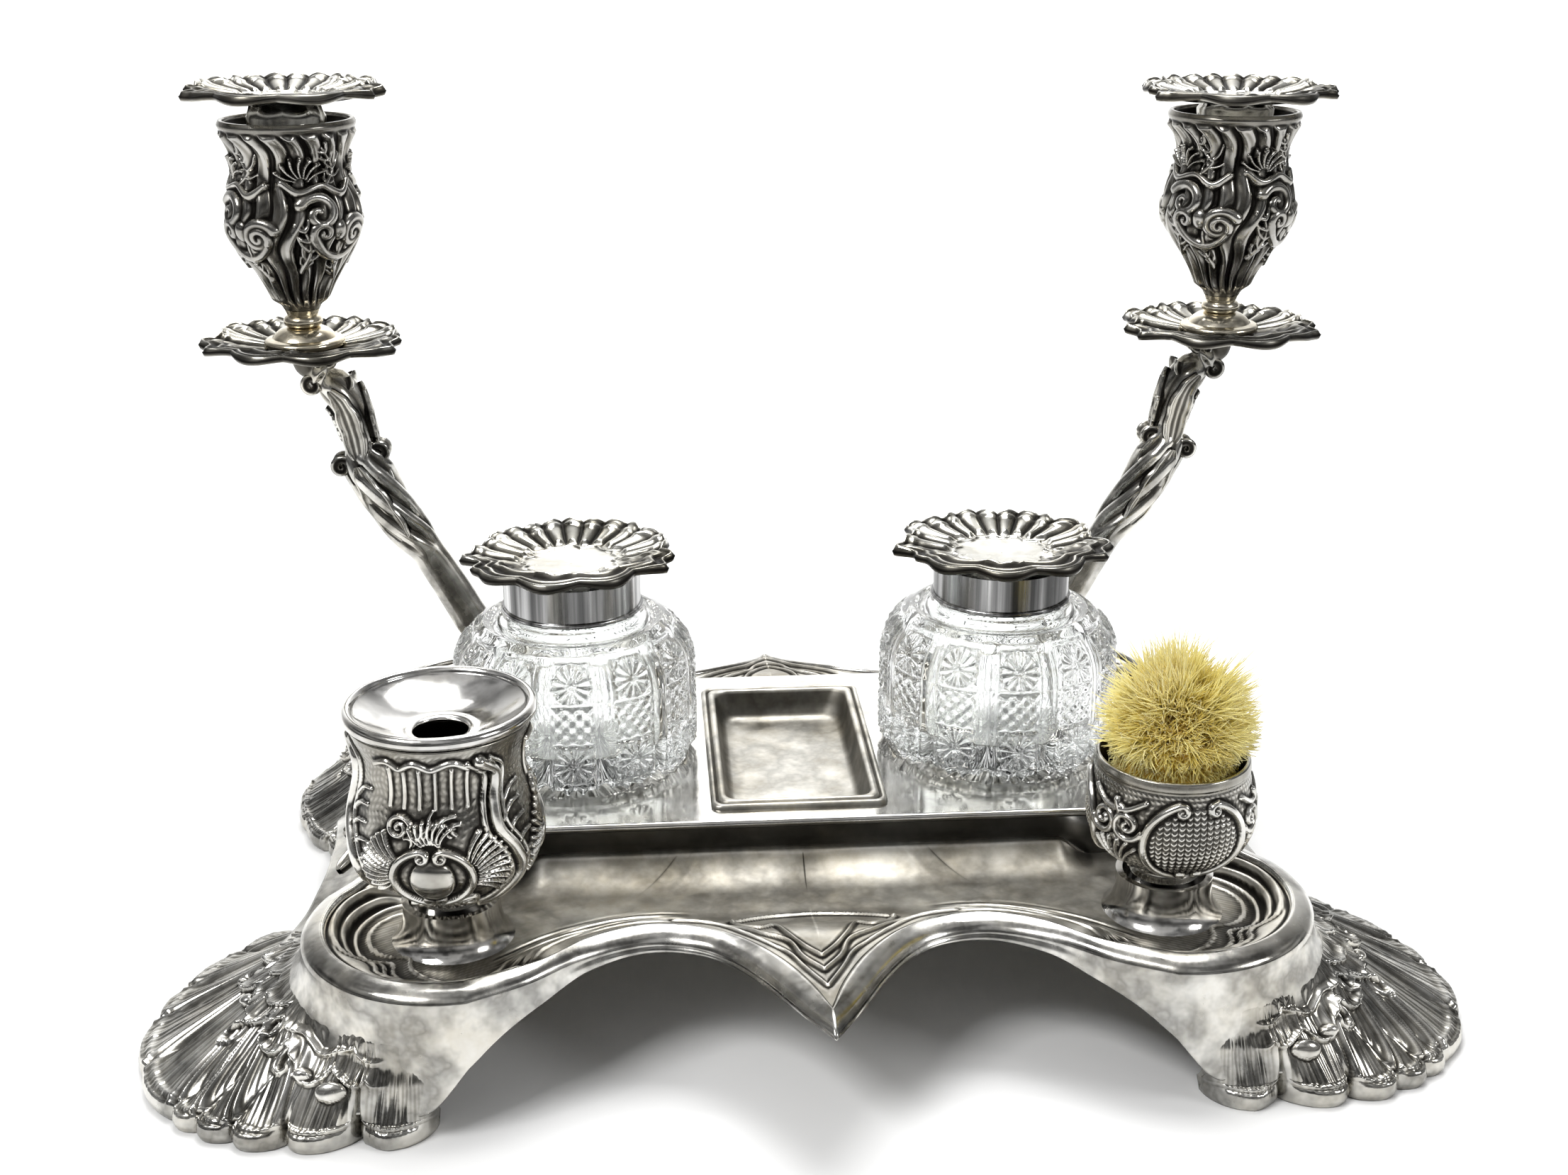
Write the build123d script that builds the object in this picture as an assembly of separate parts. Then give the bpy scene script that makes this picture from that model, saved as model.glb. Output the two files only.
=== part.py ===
from build123d import *
from math import asin, cos, degrees, radians, sin
import os

# ---- driving dimensions, mm; X right, Y to the back, Z up, origin on the table at the centre ----

# stand
LOBE_X = 97.0            # centre of each rounded corner
LOBE_Y = 77.0
LOBE_R = 39.5            # radius of the rim round a corner
SIDE_WAIST_X = 113.0     # half width of the rim at the middle of each hollowed side
CUSP_Y = 138.5           # pointed middle of the front and back edges
ARCH_X = 46.0            # hollow of the front edge between the point and a corner
ARCH_Y = 91.0
RIM_TOP = 41.0
RIM_BASE = 30.5
RIM_WIDTH = 5.0
FLOOR_TOP = 33.6
FLOOR_T = 1.6
APRON_LOW = 20.0         # where the smooth apron ends and the cast feet begin
APRON_T = 2.0
SIDE_APRON_REACH = 26.0
SIDE_APRON_HALF = 48.0   # half length of the side sheet
FLARE_POWER = 1.7        # how late the sheet turns outwards
FAN = (-76, -60, -44, -30, -17, -3, 12, 28, 43)      # slices of a flared corner, degrees
FOOT_LOBES = (-70, -56, -43, -31, -20, -8, 4, 16, 28, 40)
REAR_SQUEEZE = 0.56      # the rear feet spread less than the front ones
TOE_R = 2.6              # lobe radius, and how much it grows with the reach
TOE_GROWTH = 0.068
TOE_Z = 3.6
KNEE_Z = 15.5            # where a lobe leaves the collar of the foot
FOOT_COLLAR_H = 6.0
TROUGH_R = 34.0          # pen trough, a shallow channel along the front of the tray
TROUGH_DEPTH = 4.5
TROUGH_Y = -68.0
TROUGH_HALF = 66.0

# plinth and the tray sunk in it
PLINTH_HALF_X = 104.0
PLINTH_FRONT = -41.5
PLINTH_BACK = 64.0
PLINTH_TOP = 48.6
PLINTH_T = 1.6
BEAD_R = 1.3
NIB_HALF_X = 25.7
NIB_FRONT = -35.7
NIB_BACK = 52.4
NIB_FRAME = 4.0
NIB_FRAME_H = 1.4
NIB_DEPTH = 12.0
STUD_R = 2.0
STUD_END = 26.0          # lowest point of the threaded studs
NUT_FIT = 0.02
STUD_X = 88.0
STUD_YS = (-32.0, 55.0)
NUT_R = 4.6
NUT_T = 3.0

# inkwells
WELL_X = 65.0
WELL_Y = 11.2
GLASS_R = 36.8
GLASS_TOP = 104.2
NECK_R = 19.0
MOUTH_R = 13.5
COLLAR_BASE = 95.5
COLLAR_TOP = 107.0
COLLAR_R = 20.5
HINGE_BACK = 26.0        # hinge axis behind the axis of the bottle
HINGE_Z = 105.0
NECK_FIT = 0.03
PIN_R = 1.0
KNUCKLE_R = 2.1
LID_R = 31.5
LID_LOBES = 10
LID_LOBE_R = 6.0
HOOK_R = 1.6
HOOK_ANGLES = (0, 180, 216)
LID_BASE = COLLAR_TOP + 0.3
LID_TOP = 114.5

# pot and cup
VASE_X = 97.0
VASE_Y = -74.0
SOCKET_TOP = 45.3
SOCKET_R = 13.2
SOCKET_BORE = 11.4
VASE_BASE = 35.4
SOCKET_FLARE_R = 16.6    # foot of the socket on the tray
SOCKET_STUD_R = 2.9
RECEIVER_TAIL_R = 5.2
RECEIVER_R = 6.6
POT_RIM = 98.0
CUP_RIM = 80.7
BEADS = 16               # leaf bosses round the foot of the pot

# candle branches
BRANCH_X = 97.0
BRANCH_Y = 90.0
CANDLE_X = 151.0
SPIGOT_R = 4.0
SPIGOT_FIT = 0.05
RECEIVER_TOP = 51.0
ARM_R = 4.4
PAN_BASE = 156.0
PAN_R = 32.0
PEG_R = 2.5              # screwed peg at the top of an arm
PEG_FIT = 0.05
SPIGOT_END = 26.5
CUP_BASE_Z = 159.0
CANDLE_CUP_Z = 171.0
CANDLE_CUP_TOP = 231.0
NOZZLE_TUBE_R = 12.3
CANDLE_R = 11.1
NOZZLE_FOOT = 197.0

SIDES = {"left": -1, "right": 1}


def solid_of(outline):
    """Turn an (r, z) outline, drawn to the right of Z, about the Z axis."""
    return revolve(Plane.XZ * make_face(outline), Axis.Z)


def ring(r_out, r_in, z_low, z_high):
    """A plain tube."""
    tube = Cylinder(r_out, z_high - z_low) - Cylinder(r_in, z_high - z_low + 2)
    return Pos(0, 0, (z_low + z_high) / 2) * tube


def vessel(outside, inside):
    """A turned vessel: both profiles run from the bottom up as (r, z) points."""
    outer = Spline(*outside)
    inner = Spline(*reversed(inside))
    lip = Line(outside[-1], inside[-1])
    floor = Line(inside[0], (0, inside[0][1]))
    axis = Line((0, inside[0][1]), (0, outside[0][1]))
    base = Line((0, outside[0][1]), outside[0])
    return solid_of([outer, lip, inner, floor, axis, base])


# ---- stand ----

def on_lobe(angle, inset=0.0):
    """Point on the round front right corner of the rim, angle from X."""
    radius = LOBE_R - inset
    return (LOBE_X + radius * cos(radians(angle)), -LOBE_Y + radius * sin(radians(angle)))


def rim_face(inset=0.0):
    """The rim in plan: four round corners, hollow sides and two pointed middles."""
    front = Spline(
        (0, -CUSP_Y + 1.9 * inset), (19 - 0.7 * inset, -110 + 0.8 * inset), (ARCH_X, -ARCH_Y + inset),
        on_lobe(-100, inset), tangents=[(0.42, 1), (1, -0.17)],
    )
    corner = ThreePointArc(on_lobe(-100, inset), on_lobe(-45, inset), on_lobe(0, inset))
    shoulder = ThreePointArc(on_lobe(0, inset), on_lobe(12, inset), on_lobe(25, inset))
    end = on_lobe(25, inset)
    waist = ThreePointArc(end, (SIDE_WAIST_X - inset, 0), (end[0], -end[1]))
    quarter = [front, corner, shoulder]
    half = quarter + [waist] + [mirror(e, about=Plane.XZ) for e in quarter]
    return make_face(half + [mirror(e, about=Plane.YZ) for e in half])


def slab(face, z_low, z_high):
    return Pos(0, 0, z_low) * extrude(face, z_high - z_low)


def toe_reach(angle):
    """How far the toes stand out from a corner's centre; the fan spreads towards the side."""
    u = (angle - FAN[0]) / (FAN[-1] - FAN[0])
    return 43.0 + 42.0 * sin(radians(90 * min(1.0, u * 1.45))) ** 1.3 - 9.0 * max(0.0, u - 0.8)


def flare_section(angle, reach, z_high, z_low):
    """A radial slice through the flared sheet of a front right corner."""
    start = LOBE_R - 0.5 if angle < 20 else LOBE_R - 0.5 - (angle - 20) * 0.13
    run = reach - start
    drop = RIM_BASE + 2.0
    levels = [z_high + (z_low - z_high) * k / 4 for k in range(5)]
    outer = [(start + run * ((drop - z) / drop) ** FLARE_POWER, z) for z in levels]
    inner = [(r - APRON_T, z) for r, z in outer]
    edges = [Spline(*outer), Line(outer[-1], inner[-1])]
    edges += [Spline(*reversed(inner)), Line(inner[0], outer[0])]
    plane = Plane(origin=(LOBE_X, -LOBE_Y, 0), x_dir=(cos(radians(angle)), sin(radians(angle)), 0),
                  z_dir=(sin(radians(angle)), -cos(radians(angle)), 0))
    return plane * make_face(edges)


def corner_apron(squeeze=1.0):
    """Smooth flared sheet under one corner of the rim."""
    slices = []
    for angle in FAN:
        reach = LOBE_R + (toe_reach(angle) - LOBE_R) * squeeze
        slices.append(flare_section(angle, reach, RIM_BASE + 1.0, APRON_LOW))
    return loft(slices)


def side_apron(side):
    """Shallow flared sheet along the hollow of one side, from foot to foot."""
    end = on_lobe(25)
    bend = end[0] - SIDE_WAIST_X
    radius = (end[1] ** 2 + bend ** 2) / (2 * bend)
    spread = 2 * degrees(asin(SIDE_APRON_HALF / radius))
    z_high, z_low = RIM_BASE + 1.0, APRON_LOW + APRON_T
    reach = SIDE_APRON_REACH
    bend_r = radius - reach * 0.3
    bend_z = (z_high + z_low) / 2
    outer = Spline((radius, z_high), (bend_r, bend_z), (radius - reach, z_low))
    inner = Spline((radius - reach, z_low - APRON_T), (bend_r, bend_z - APRON_T), (radius, z_high - APRON_T))
    edges = [outer, Line(outer @ 1, inner @ 0), inner, Line(inner @ 1, outer @ 0)]
    sheet = revolve(Plane.XZ * make_face(edges), Axis.Z, spread)
    centre = (SIDE_WAIST_X + radius) * side
    turn = 180 - spread / 2 if side > 0 else -spread / 2
    return Pos(centre, 0, 0) * Rot(0, 0, turn) * sheet


def mirrored_corner(shape, sx, sy):
    """Copy a front right piece to another corner."""
    if sx < 0:
        shape = mirror(shape, about=Plane.YZ)
    if sy > 0:
        shape = mirror(shape, about=Plane.XZ)
    return shape


def pen_trough(grow):
    """Solid segment that forms or cuts the channel for pens."""
    centre_z = FLOOR_TOP - TROUGH_DEPTH + TROUGH_R
    tube = Rot(0, 90, 0) * Cylinder(TROUGH_R + grow, 2 * (TROUGH_HALF + grow))
    keep = Pos(0, TROUGH_Y, FLOOR_TOP - 10) * Box(2 * TROUGH_HALF + 10, 2 * TROUGH_R, 20)
    return (Pos(0, TROUGH_Y, centre_z) * tube) & keep


def stand_tray():
    body = slab(rim_face(), RIM_BASE, RIM_TOP) - slab(rim_face(RIM_WIDTH), FLOOR_TOP, RIM_TOP + 1)
    body -= slab(rim_face(2.0), RIM_BASE - 4, FLOOR_TOP - FLOOR_T)
    body += pen_trough(FLOOR_T)
    body -= pen_trough(0) + Pos(0, TROUGH_Y, FLOOR_TOP + 4) * Box(20, 20, 8)
    for sx in (-1, 1):
        body += side_apron(sx)
        body += mirrored_corner(corner_apron(), sx, -1)
        body += mirrored_corner(corner_apron(REAR_SQUEEZE), sx, 1)
    for sx in (-1, 1):
        body -= Pos(sx * VASE_X, VASE_Y, FLOOR_TOP) * Cylinder(3.2, 8)
        body -= Pos(sx * BRANCH_X, BRANCH_Y, FLOOR_TOP) * Cylinder(5.3, 8)
        for y in STUD_YS:
            body -= Pos(sx * STUD_X, y, FLOOR_TOP) * Cylinder(STUD_R + 0.3, 8)
    return body


def petal(angle, reach, width):
    """One rounded lobe of a foot: a cone that swells along the flare and ends in a ball."""
    knee = Vector(LOBE_R + 1.5, 0, KNEE_Z)
    toe = Vector(reach - width, 0, TOE_Z)
    slope = Plane(origin=knee, z_dir=toe - knee)
    length = (toe - knee).length
    cone = slope * Pos(0, 0, length / 2) * Cone(TOE_R, width, length)
    return Rot(0, 0, angle) * (cone + Pos(*toe) * Sphere(width))


def shell_foot(squeeze=1.0):
    """Splayed shell foot for the front right corner: a curved collar with a fan of lobes."""
    band = Circle(LOBE_R + 3.5) - Circle(LOBE_R - 3.0)
    foot = Pos(0, 0, APRON_LOW - FOOT_COLLAR_H) * extrude(band, FOOT_COLLAR_H)
    foot -= Rot(0, 0, FAN[-1]) * Box(400, 200, 60, align=(Align.CENTER, Align.MIN, Align.CENTER))
    foot -= Rot(0, 0, FAN[0]) * Box(400, 200, 60, align=(Align.CENTER, Align.MAX, Align.CENTER))
    for angle in FOOT_LOBES:
        reach = LOBE_R + (toe_reach(angle) - LOBE_R) * squeeze
        foot += petal(angle, reach, TOE_R + TOE_GROWTH * reach)
    keep = Pos(0, 0, APRON_LOW / 2 - 0.05) * Box(600, 600, APRON_LOW - 0.1)
    return Pos(LOBE_X, -LOBE_Y, 0) * (foot & keep)


# ---- plinth ----

def ink_plinth():
    depth = PLINTH_BACK - PLINTH_FRONT
    height = PLINTH_TOP - FLOOR_TOP
    mid_y = (PLINTH_FRONT + PLINTH_BACK) / 2
    body = Pos(0, mid_y, FLOOR_TOP + height / 2) * Box(2 * PLINTH_HALF_X, depth, height)
    hollow = Box(2 * (PLINTH_HALF_X - PLINTH_T), depth - 2 * PLINTH_T, height)
    body -= Pos(0, mid_y, FLOOR_TOP + height / 2 - PLINTH_T) * hollow
    nib_y = (NIB_FRONT + NIB_BACK) / 2
    half = NIB_HALF_X - NIB_FRAME + 0.4
    body -= Pos(0, nib_y, PLINTH_TOP) * Box(2 * half, NIB_BACK - NIB_FRONT - 2 * NIB_FRAME + 0.8, 8)
    for y in (PLINTH_FRONT, PLINTH_BACK):
        body += Pos(0, y, PLINTH_TOP - BEAD_R) * Rot(0, 90, 0) * Cylinder(BEAD_R, 2 * PLINTH_HALF_X)
    stud_top = PLINTH_TOP - PLINTH_T / 2
    for sx in (-1, 1):
        for y in STUD_YS:
            body += Pos(sx * STUD_X, y, (stud_top + STUD_END) / 2) * Cylinder(STUD_R, stud_top - STUD_END)
    return body


def nib_tray():
    """Moulded frame with a round-cornered sunk dish."""
    mid_y = (NIB_FRONT + NIB_BACK) / 2
    long = NIB_BACK - NIB_FRONT
    frame = Pos(0, mid_y, PLINTH_TOP) * extrude(RectangleRounded(2 * NIB_HALF_X, long, 3), NIB_FRAME_H)
    inner_x = 2 * (NIB_HALF_X - NIB_FRAME)
    inner_y = long - 2 * NIB_FRAME
    bottom_z = PLINTH_TOP - NIB_DEPTH
    mouth = Pos(0, mid_y, PLINTH_TOP + NIB_FRAME_H) * RectangleRounded(inner_x - 2, inner_y - 2, 8)
    foot = Pos(0, mid_y, bottom_z + 1.2) * RectangleRounded(inner_x - 12, inner_y - 12, 8)
    hollow = loft([foot, mouth])
    mouth_out = Pos(0, mid_y, PLINTH_TOP) * RectangleRounded(inner_x, inner_y, 9)
    foot_out = Pos(0, mid_y, bottom_z) * RectangleRounded(inner_x - 9.5, inner_y - 9.5, 9)
    return frame + loft([foot_out, mouth_out]) - hollow


def hex_nut(z_high, bore, across=NUT_R, thick=NUT_T):
    nut = Pos(0, 0, z_high - thick) * extrude(RegularPolygon(across, 6), thick)
    return nut - Pos(0, 0, z_high - thick / 2) * Cylinder(bore, thick + 2)


def plinth_nuts():
    """Four nuts under the tray floor that hold the plinth down."""
    under = FLOOR_TOP - FLOOR_T
    nuts = [
        Pos(sx * STUD_X, y, 0) * hex_nut(under, STUD_R + NUT_FIT)
        for sx in (-1, 1)
        for y in STUD_YS
    ]
    return Compound(nuts)


# ---- sockets ----

def socket_ring(side):
    """Flared ring on the tray that holds the foot of a pot or cup, with its stud."""
    low = FLOOR_TOP
    outside = Spline((SOCKET_FLARE_R, low), (14.4, low + 2.6), (SOCKET_R, low + 6.5),
                     (SOCKET_R, SOCKET_TOP))
    edges = [
        outside,
        Line((SOCKET_R, SOCKET_TOP), (SOCKET_BORE, SOCKET_TOP)),
        Line((SOCKET_BORE, SOCKET_TOP), (SOCKET_BORE, low + 1.5)),
        Line((SOCKET_BORE, low + 1.5), (0, low + 1.5)),
        Line((0, low + 1.5), (0, low)),
        Line((0, low), (SOCKET_FLARE_R, low)),
    ]
    stud = Pos(0, 0, low - 3.9) * Cylinder(SOCKET_STUD_R, 8)
    return Pos(side * VASE_X, VASE_Y, 0) * (solid_of(edges) + stud)


def branch_receiver(side):
    """Tube that the spigot of a candle branch turns in; it passes through the tray floor."""
    low = FLOOR_TOP
    tube = ring(RECEIVER_R, SPIGOT_R + SPIGOT_FIT, low, RECEIVER_TOP)
    flange = ring(9.5, SPIGOT_R + SPIGOT_FIT, low, low + 1.8)
    tail = ring(RECEIVER_TAIL_R, SPIGOT_R + SPIGOT_FIT, 25.5, low)
    lip = Pos(0, 0, RECEIVER_TOP - 1.2) * Torus(RECEIVER_R, 0.9)
    return Pos(side * BRANCH_X, BRANCH_Y, 0) * (tube + flange + tail + lip)


def socket_nuts():
    """Ring nuts under the tray for the two sockets and the two branch receivers."""
    under = FLOOR_TOP - FLOOR_T
    nuts = []
    for sx in (-1, 1):
        nuts.append(Pos(sx * VASE_X, VASE_Y, 0) * hex_nut(under, SOCKET_STUD_R + NUT_FIT, 5.6))
        nuts.append(Pos(sx * BRANCH_X, BRANCH_Y, 0) * hex_nut(under, RECEIVER_TAIL_R + NUT_FIT, 8.6))
    return Compound(nuts)


# ---- inkwells ----

def at_well(side, shape):
    return Pos(side * WELL_X, WELL_Y, 0) * shape


def glass_bottle(side):
    """Thick round bottle with a domed shoulder, a grooved ledge and a short neck."""
    low = PLINTH_TOP
    outside = [
        Line((0, low), (34.6, low)),
        ThreePointArc((34.6, low), (36.2, low + 0.8), (GLASS_R, low + 3)),
        Line((GLASS_R, low + 3), (GLASS_R, 77)),
        Spline((GLASS_R, 77), (35.0, 84), (30.0, 90.2), (26.5, 92.2)),
        Line((26.5, 92.2), (25.4, 91.4)),
        Line((25.4, 91.4), (24.4, 92.6)),
        Line((24.4, 92.6), (23.6, 94.6)),
        Line((23.6, 94.6), (NECK_R, 94.6)),
        Line((NECK_R, 94.6), (NECK_R, GLASS_TOP)),
    ]
    inside = [
        Line((NECK_R, GLASS_TOP), (MOUTH_R, GLASS_TOP)),
        Line((MOUTH_R, GLASS_TOP), (MOUTH_R, 92)),
        Spline((MOUTH_R, 92), (20, 88.5), (26, 80), (27, 70)),
        Line((27, 70), (25.5, 60)),
        ThreePointArc((25.5, 60), (23, 57.4), (19, 56.8)),
        Line((19, 56.8), (0, 56.0)),
        Line((0, 56.0), (0, low)),
    ]
    return at_well(side, solid_of(outside + inside))


def knuckle(y, z, x_low, x_high, radius=KNUCKLE_R):
    return Pos((x_low + x_high) / 2, y, z) * Rot(0, 90, 0) * Cylinder(radius, x_high - x_low)


def collar(side):
    """Silver collar cemented round the neck, with two hinge knuckles at the back."""
    body = ring(COLLAR_R, NECK_R + NECK_FIT, COLLAR_BASE, COLLAR_TOP)
    body += ring(COLLAR_R, MOUTH_R, GLASS_TOP + 0.05, COLLAR_TOP)
    body += Pos(0, 0, COLLAR_BASE + 0.9) * Torus(COLLAR_R, 0.8) - Cylinder(NECK_R + NECK_FIT, 400)
    for x_low, x_high in ((-7.0, -3.4), (3.4, 7.0)):
        body += knuckle(HINGE_BACK, HINGE_Z, x_low, x_high)
        lug = Box(x_high - x_low, HINGE_BACK - 18.5, 3.0)
        body += Pos((x_low + x_high) / 2, (HINGE_BACK + 18.5) / 2, HINGE_Z - 1.0) * lug
    body -= Cylinder(MOUTH_R, 400)
    body -= Pos(0, 0, GLASS_TOP - 30) * Cylinder(NECK_R + NECK_FIT, 60.1)
    body -= Pos(0, HINGE_BACK, HINGE_Z) * Rot(0, 90, 0) * Cylinder(PIN_R + 0.01, 60)
    return at_well(side, body)


def hinge_pin(side):
    pin = Pos(0, HINGE_BACK, HINGE_Z) * Rot(0, 90, 0) * Cylinder(PIN_R, 14.6)
    return at_well(side, pin)


def lobed_disc(radius, lobes, lobe_r, height, z_low):
    """Shell outline: a disc with a ring of rounded lobes."""
    ring_r = radius - lobe_r * 0.5
    face = Circle(ring_r)
    for k in range(lobes):
        turn = radians(360 * k / lobes)
        face += Pos(ring_r * cos(turn), ring_r * sin(turn)) * Circle(lobe_r)
    return Pos(0, 0, z_low) * extrude(face, height)


def hook(radius, angle, z, size):
    """Pointed scroll spur at the edge of a shell."""
    arm = Pos(radius, 0, z) * Rot(0, 90, 0) * Cone(size, size * 0.35, size * 3.0)
    tip = Pos(radius + size * 1.4, size * 0.5, z) * Sphere(size * 0.75)
    return Rot(0, 0, angle) * (arm + tip)


def ink_lid(side):
    """Shell lid: shallow dome on a lobed outline, spurs each side and a knuckle behind."""
    dome = solid_of([
        Line((0, LID_BASE), (LID_R + 6, LID_BASE)),
        Line((LID_R + 6, LID_BASE), (LID_R + 6, LID_BASE + 2.0)),
        Spline((LID_R + 6, LID_BASE + 2.0), (26, LID_BASE + 4.6), (15, LID_TOP - 1.2),
               (12, LID_TOP - 0.8)),
        Line((12, LID_TOP - 0.8), (0, LID_TOP - 0.4)),
        Line((0, LID_TOP - 0.4), (0, LID_BASE)),
    ])
    lid = dome & lobed_disc(LID_R, LID_LOBES, LID_LOBE_R, 20, LID_BASE - 1)
    lid -= solid_of([
        Line((0, LID_BASE - 1), (24, LID_BASE - 1)),
        Line((24, LID_BASE - 1), (20, LID_BASE + 2.4)),
        Line((20, LID_BASE + 2.4), (0, LID_TOP - 2.6)),
        Line((0, LID_TOP - 2.6), (0, LID_BASE - 1)),
    ])
    lid += ring(MOUTH_R - 0.6, MOUTH_R - 1.8, LID_BASE - 1.6, LID_BASE + 5.0)
    lid += ring(24.6, 14.6, LID_BASE, LID_BASE + 1.2)
    for angle in HOOK_ANGLES:
        lid += hook(LID_R - 0.5, angle, LID_BASE + HOOK_R, HOOK_R)
    lid -= Pos(0, HINGE_BACK, HINGE_Z) * Rot(0, 90, 0) * Cylinder(KNUCKLE_R + 0.5, 15.4)
    post = Pos(0, HINGE_BACK, HINGE_Z + 1.9) * Box(5.8, 3.0, 3.0)
    lid += knuckle(HINGE_BACK, HINGE_Z, -2.9, 2.9) + post
    lid -= Pos(0, HINGE_BACK, HINGE_Z) * Rot(0, 90, 0) * Cylinder(PIN_R + 0.05, 60)
    return at_well(side, lid)


# ---- pot, cup and pen wiper ----

def at_vase(side, shape):
    return Pos(side * VASE_X, VASE_Y, 0) * shape


def vase_foot(radius):
    return Pos(0, 0, (VASE_BASE + SOCKET_TOP + 2) / 2) * Cylinder(radius, SOCKET_TOP + 2 - VASE_BASE)


def pot_body():
    outside = [(8.6, 45.0), (10.2, 48.5), (18.5, 54.0), (24.2, 63.0), (23.2, 73.0), (20.8, 84.0),
               (21.2, 91.0), (23.6, POT_RIM)]
    inside = [(9.0, 52.0), (17.0, 56.5), (22.0, 64.0), (21.2, 73.0), (19.0, 84.0), (19.0, 91.0),
              (20.4, POT_RIM)]
    body = vessel(outside, inside) + vase_foot(SOCKET_BORE - 0.5)
    for k in range(BEADS):
        turn = 360 * k / BEADS
        body += Rot(0, 0, turn) * Pos(9.6, 0, 46.6) * scale(Sphere(1), by=(1.8, 1.8, 2.6))
    return at_vase(-1, body)


def pot_cover():
    """Dished cover with a rolled rim, a hole at the middle and a skirt inside the mouth."""
    low = POT_RIM + 0.1
    dish = [
        Line((6.6, 94.4), (7.2, 93.4)),
        Spline((7.2, 93.4), (14, 94.6), (18.0, 97.0), (19.6, low)),
        Line((19.6, low), (23.0, low)),
        ThreePointArc((23.0, low), (25.0, low + 1.7), (23.2, low + 3.4)),
        Spline((23.2, low + 3.4), (20.6, low + 2.2), (15.0, 96.4), (6.6, 94.4)),
    ]
    skirt = ring(18.4, 17.2, 90.0, 97.2)
    return at_vase(-1, solid_of(dish) + skirt)


def wiper_cup():
    outside = [(7.6, 45.0), (8.6, 48.0), (16.0, 52.5), (21.4, 59.0), (22.3, 66.0), (21.4, 74.0),
               (20.3, CUP_RIM)]
    inside = [(7.0, 51.0), (14.5, 55.0), (20.0, 61.0), (20.8, 67.0), (20.0, 74.0), (19.2, CUP_RIM)]
    body = vessel(outside, inside) + vase_foot(SOCKET_BORE - 0.5)
    body += Pos(0, 0, 47.2) * Torus(8.6, 1.3)
    return at_vase(1, body)


def pen_wiper():
    """Soft tufted wiper standing in the cup."""
    outline = Spline((12.0, 57.0), (17.4, 66.0), (18.2, 76.0), (18.6, 81.0), (20.6, 87.0), (20.2, 95.0),
                     (14.5, 104.0), (0, 112.0), tangents=[(1, 0.5), (-1, 0)])
    edges = [outline, Line((0, 112.0), (0, 57.0)), Line((0, 57.0), (12.0, 57.0))]
    return at_vase(1, solid_of(edges))


# ---- candle branches ----

def at_candle(side, shape):
    return Pos(side * CANDLE_X, BRANCH_Y, 0) * shape


def candle_branch(side):
    """Cast scrolled arm: a spigot at the foot and a screwed peg at the top."""
    rise = RECEIVER_TOP + 0.1
    path = Spline(
        (BRANCH_X, rise + 2), (103, 63), (112, 82), (124, 99), (133, 116), (136, 131), (143, 146),
        (CANDLE_X, 153.5),
        tangents=[(0, 1), (0.55, 1)],
    )
    path = Plane(origin=(0, BRANCH_Y, 0), x_dir=(1, 0, 0), z_dir=(0, -1, 0)) * path
    section = Plane(path @ 0, z_dir=path % 0) * Circle(ARM_R)
    arm = sweep(section, path=path)
    arm += Pos(CANDLE_X, BRANCH_Y, 152.8) * Cylinder(6.0, 6.2)
    arm += Pos(CANDLE_X, BRANCH_Y, 160.0) * Cylinder(PEG_R, 20)
    arm += Pos(BRANCH_X, BRANCH_Y, rise + 1.6) * Cylinder(7.4, 3.2)
    arm += Pos(BRANCH_X, BRANCH_Y, (rise + SPIGOT_END) / 2) * Cylinder(SPIGOT_R, rise - SPIGOT_END)
    for x, z, size in ((140.5, 141.5, 5.6), (139.0, 112.5, 5.4), (128.5, 120.0, 4.6), (104.0, 74.0, 5.0)):
        roll = Rot(90, 0, 0) * (Cylinder(size, 7.0) - Cylinder(size * 0.35, 9.0))
        arm += Pos(x, BRANCH_Y, z) * roll
    for x, z, turn in ((133.0, 104.0, 48), (116.0, 92.0, 50), (139.0, 131.0, 75)):
        leaf = scale(Sphere(1), by=(13.0, 5.6, 5.0))
        arm += Pos(x, BRANCH_Y, z) * Rot(0, -turn, 0) * leaf
    return arm if side > 0 else mirror(arm, about=Plane.YZ)


def shell_pan(z_low, hole):
    """Wavy shell-shaped drip pan with pointed spurs."""
    dish = solid_of([
        Line((hole, z_low), (14, z_low)),
        Spline((14, z_low), (24, z_low + 1.2), (PAN_R + 3, z_low + 5.0)),
        Line((PAN_R + 3, z_low + 5.0), (PAN_R + 3, z_low + 7.0)),
        Spline((PAN_R + 3, z_low + 7.0), (24, z_low + 3.4), (14, z_low + 2.0)),
        Line((14, z_low + 2.0), (hole, z_low + 2.0)),
        Line((hole, z_low + 2.0), (hole, z_low)),
    ])
    pan = dish & lobed_disc(PAN_R - 1.5, LID_LOBES, 6.4, 20, z_low - 2)
    for angle in HOOK_ANGLES:
        pan += hook(PAN_R - 3.0, angle, z_low + 4.6, 1.7)
    return pan


def drip_pan(side):
    pan = shell_pan(PAN_BASE, PEG_R + PEG_FIT)
    pan += ring(13.0, PEG_R + PEG_FIT, PAN_BASE, CUP_BASE_Z - 0.02)
    return at_candle(side, pan)


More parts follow.
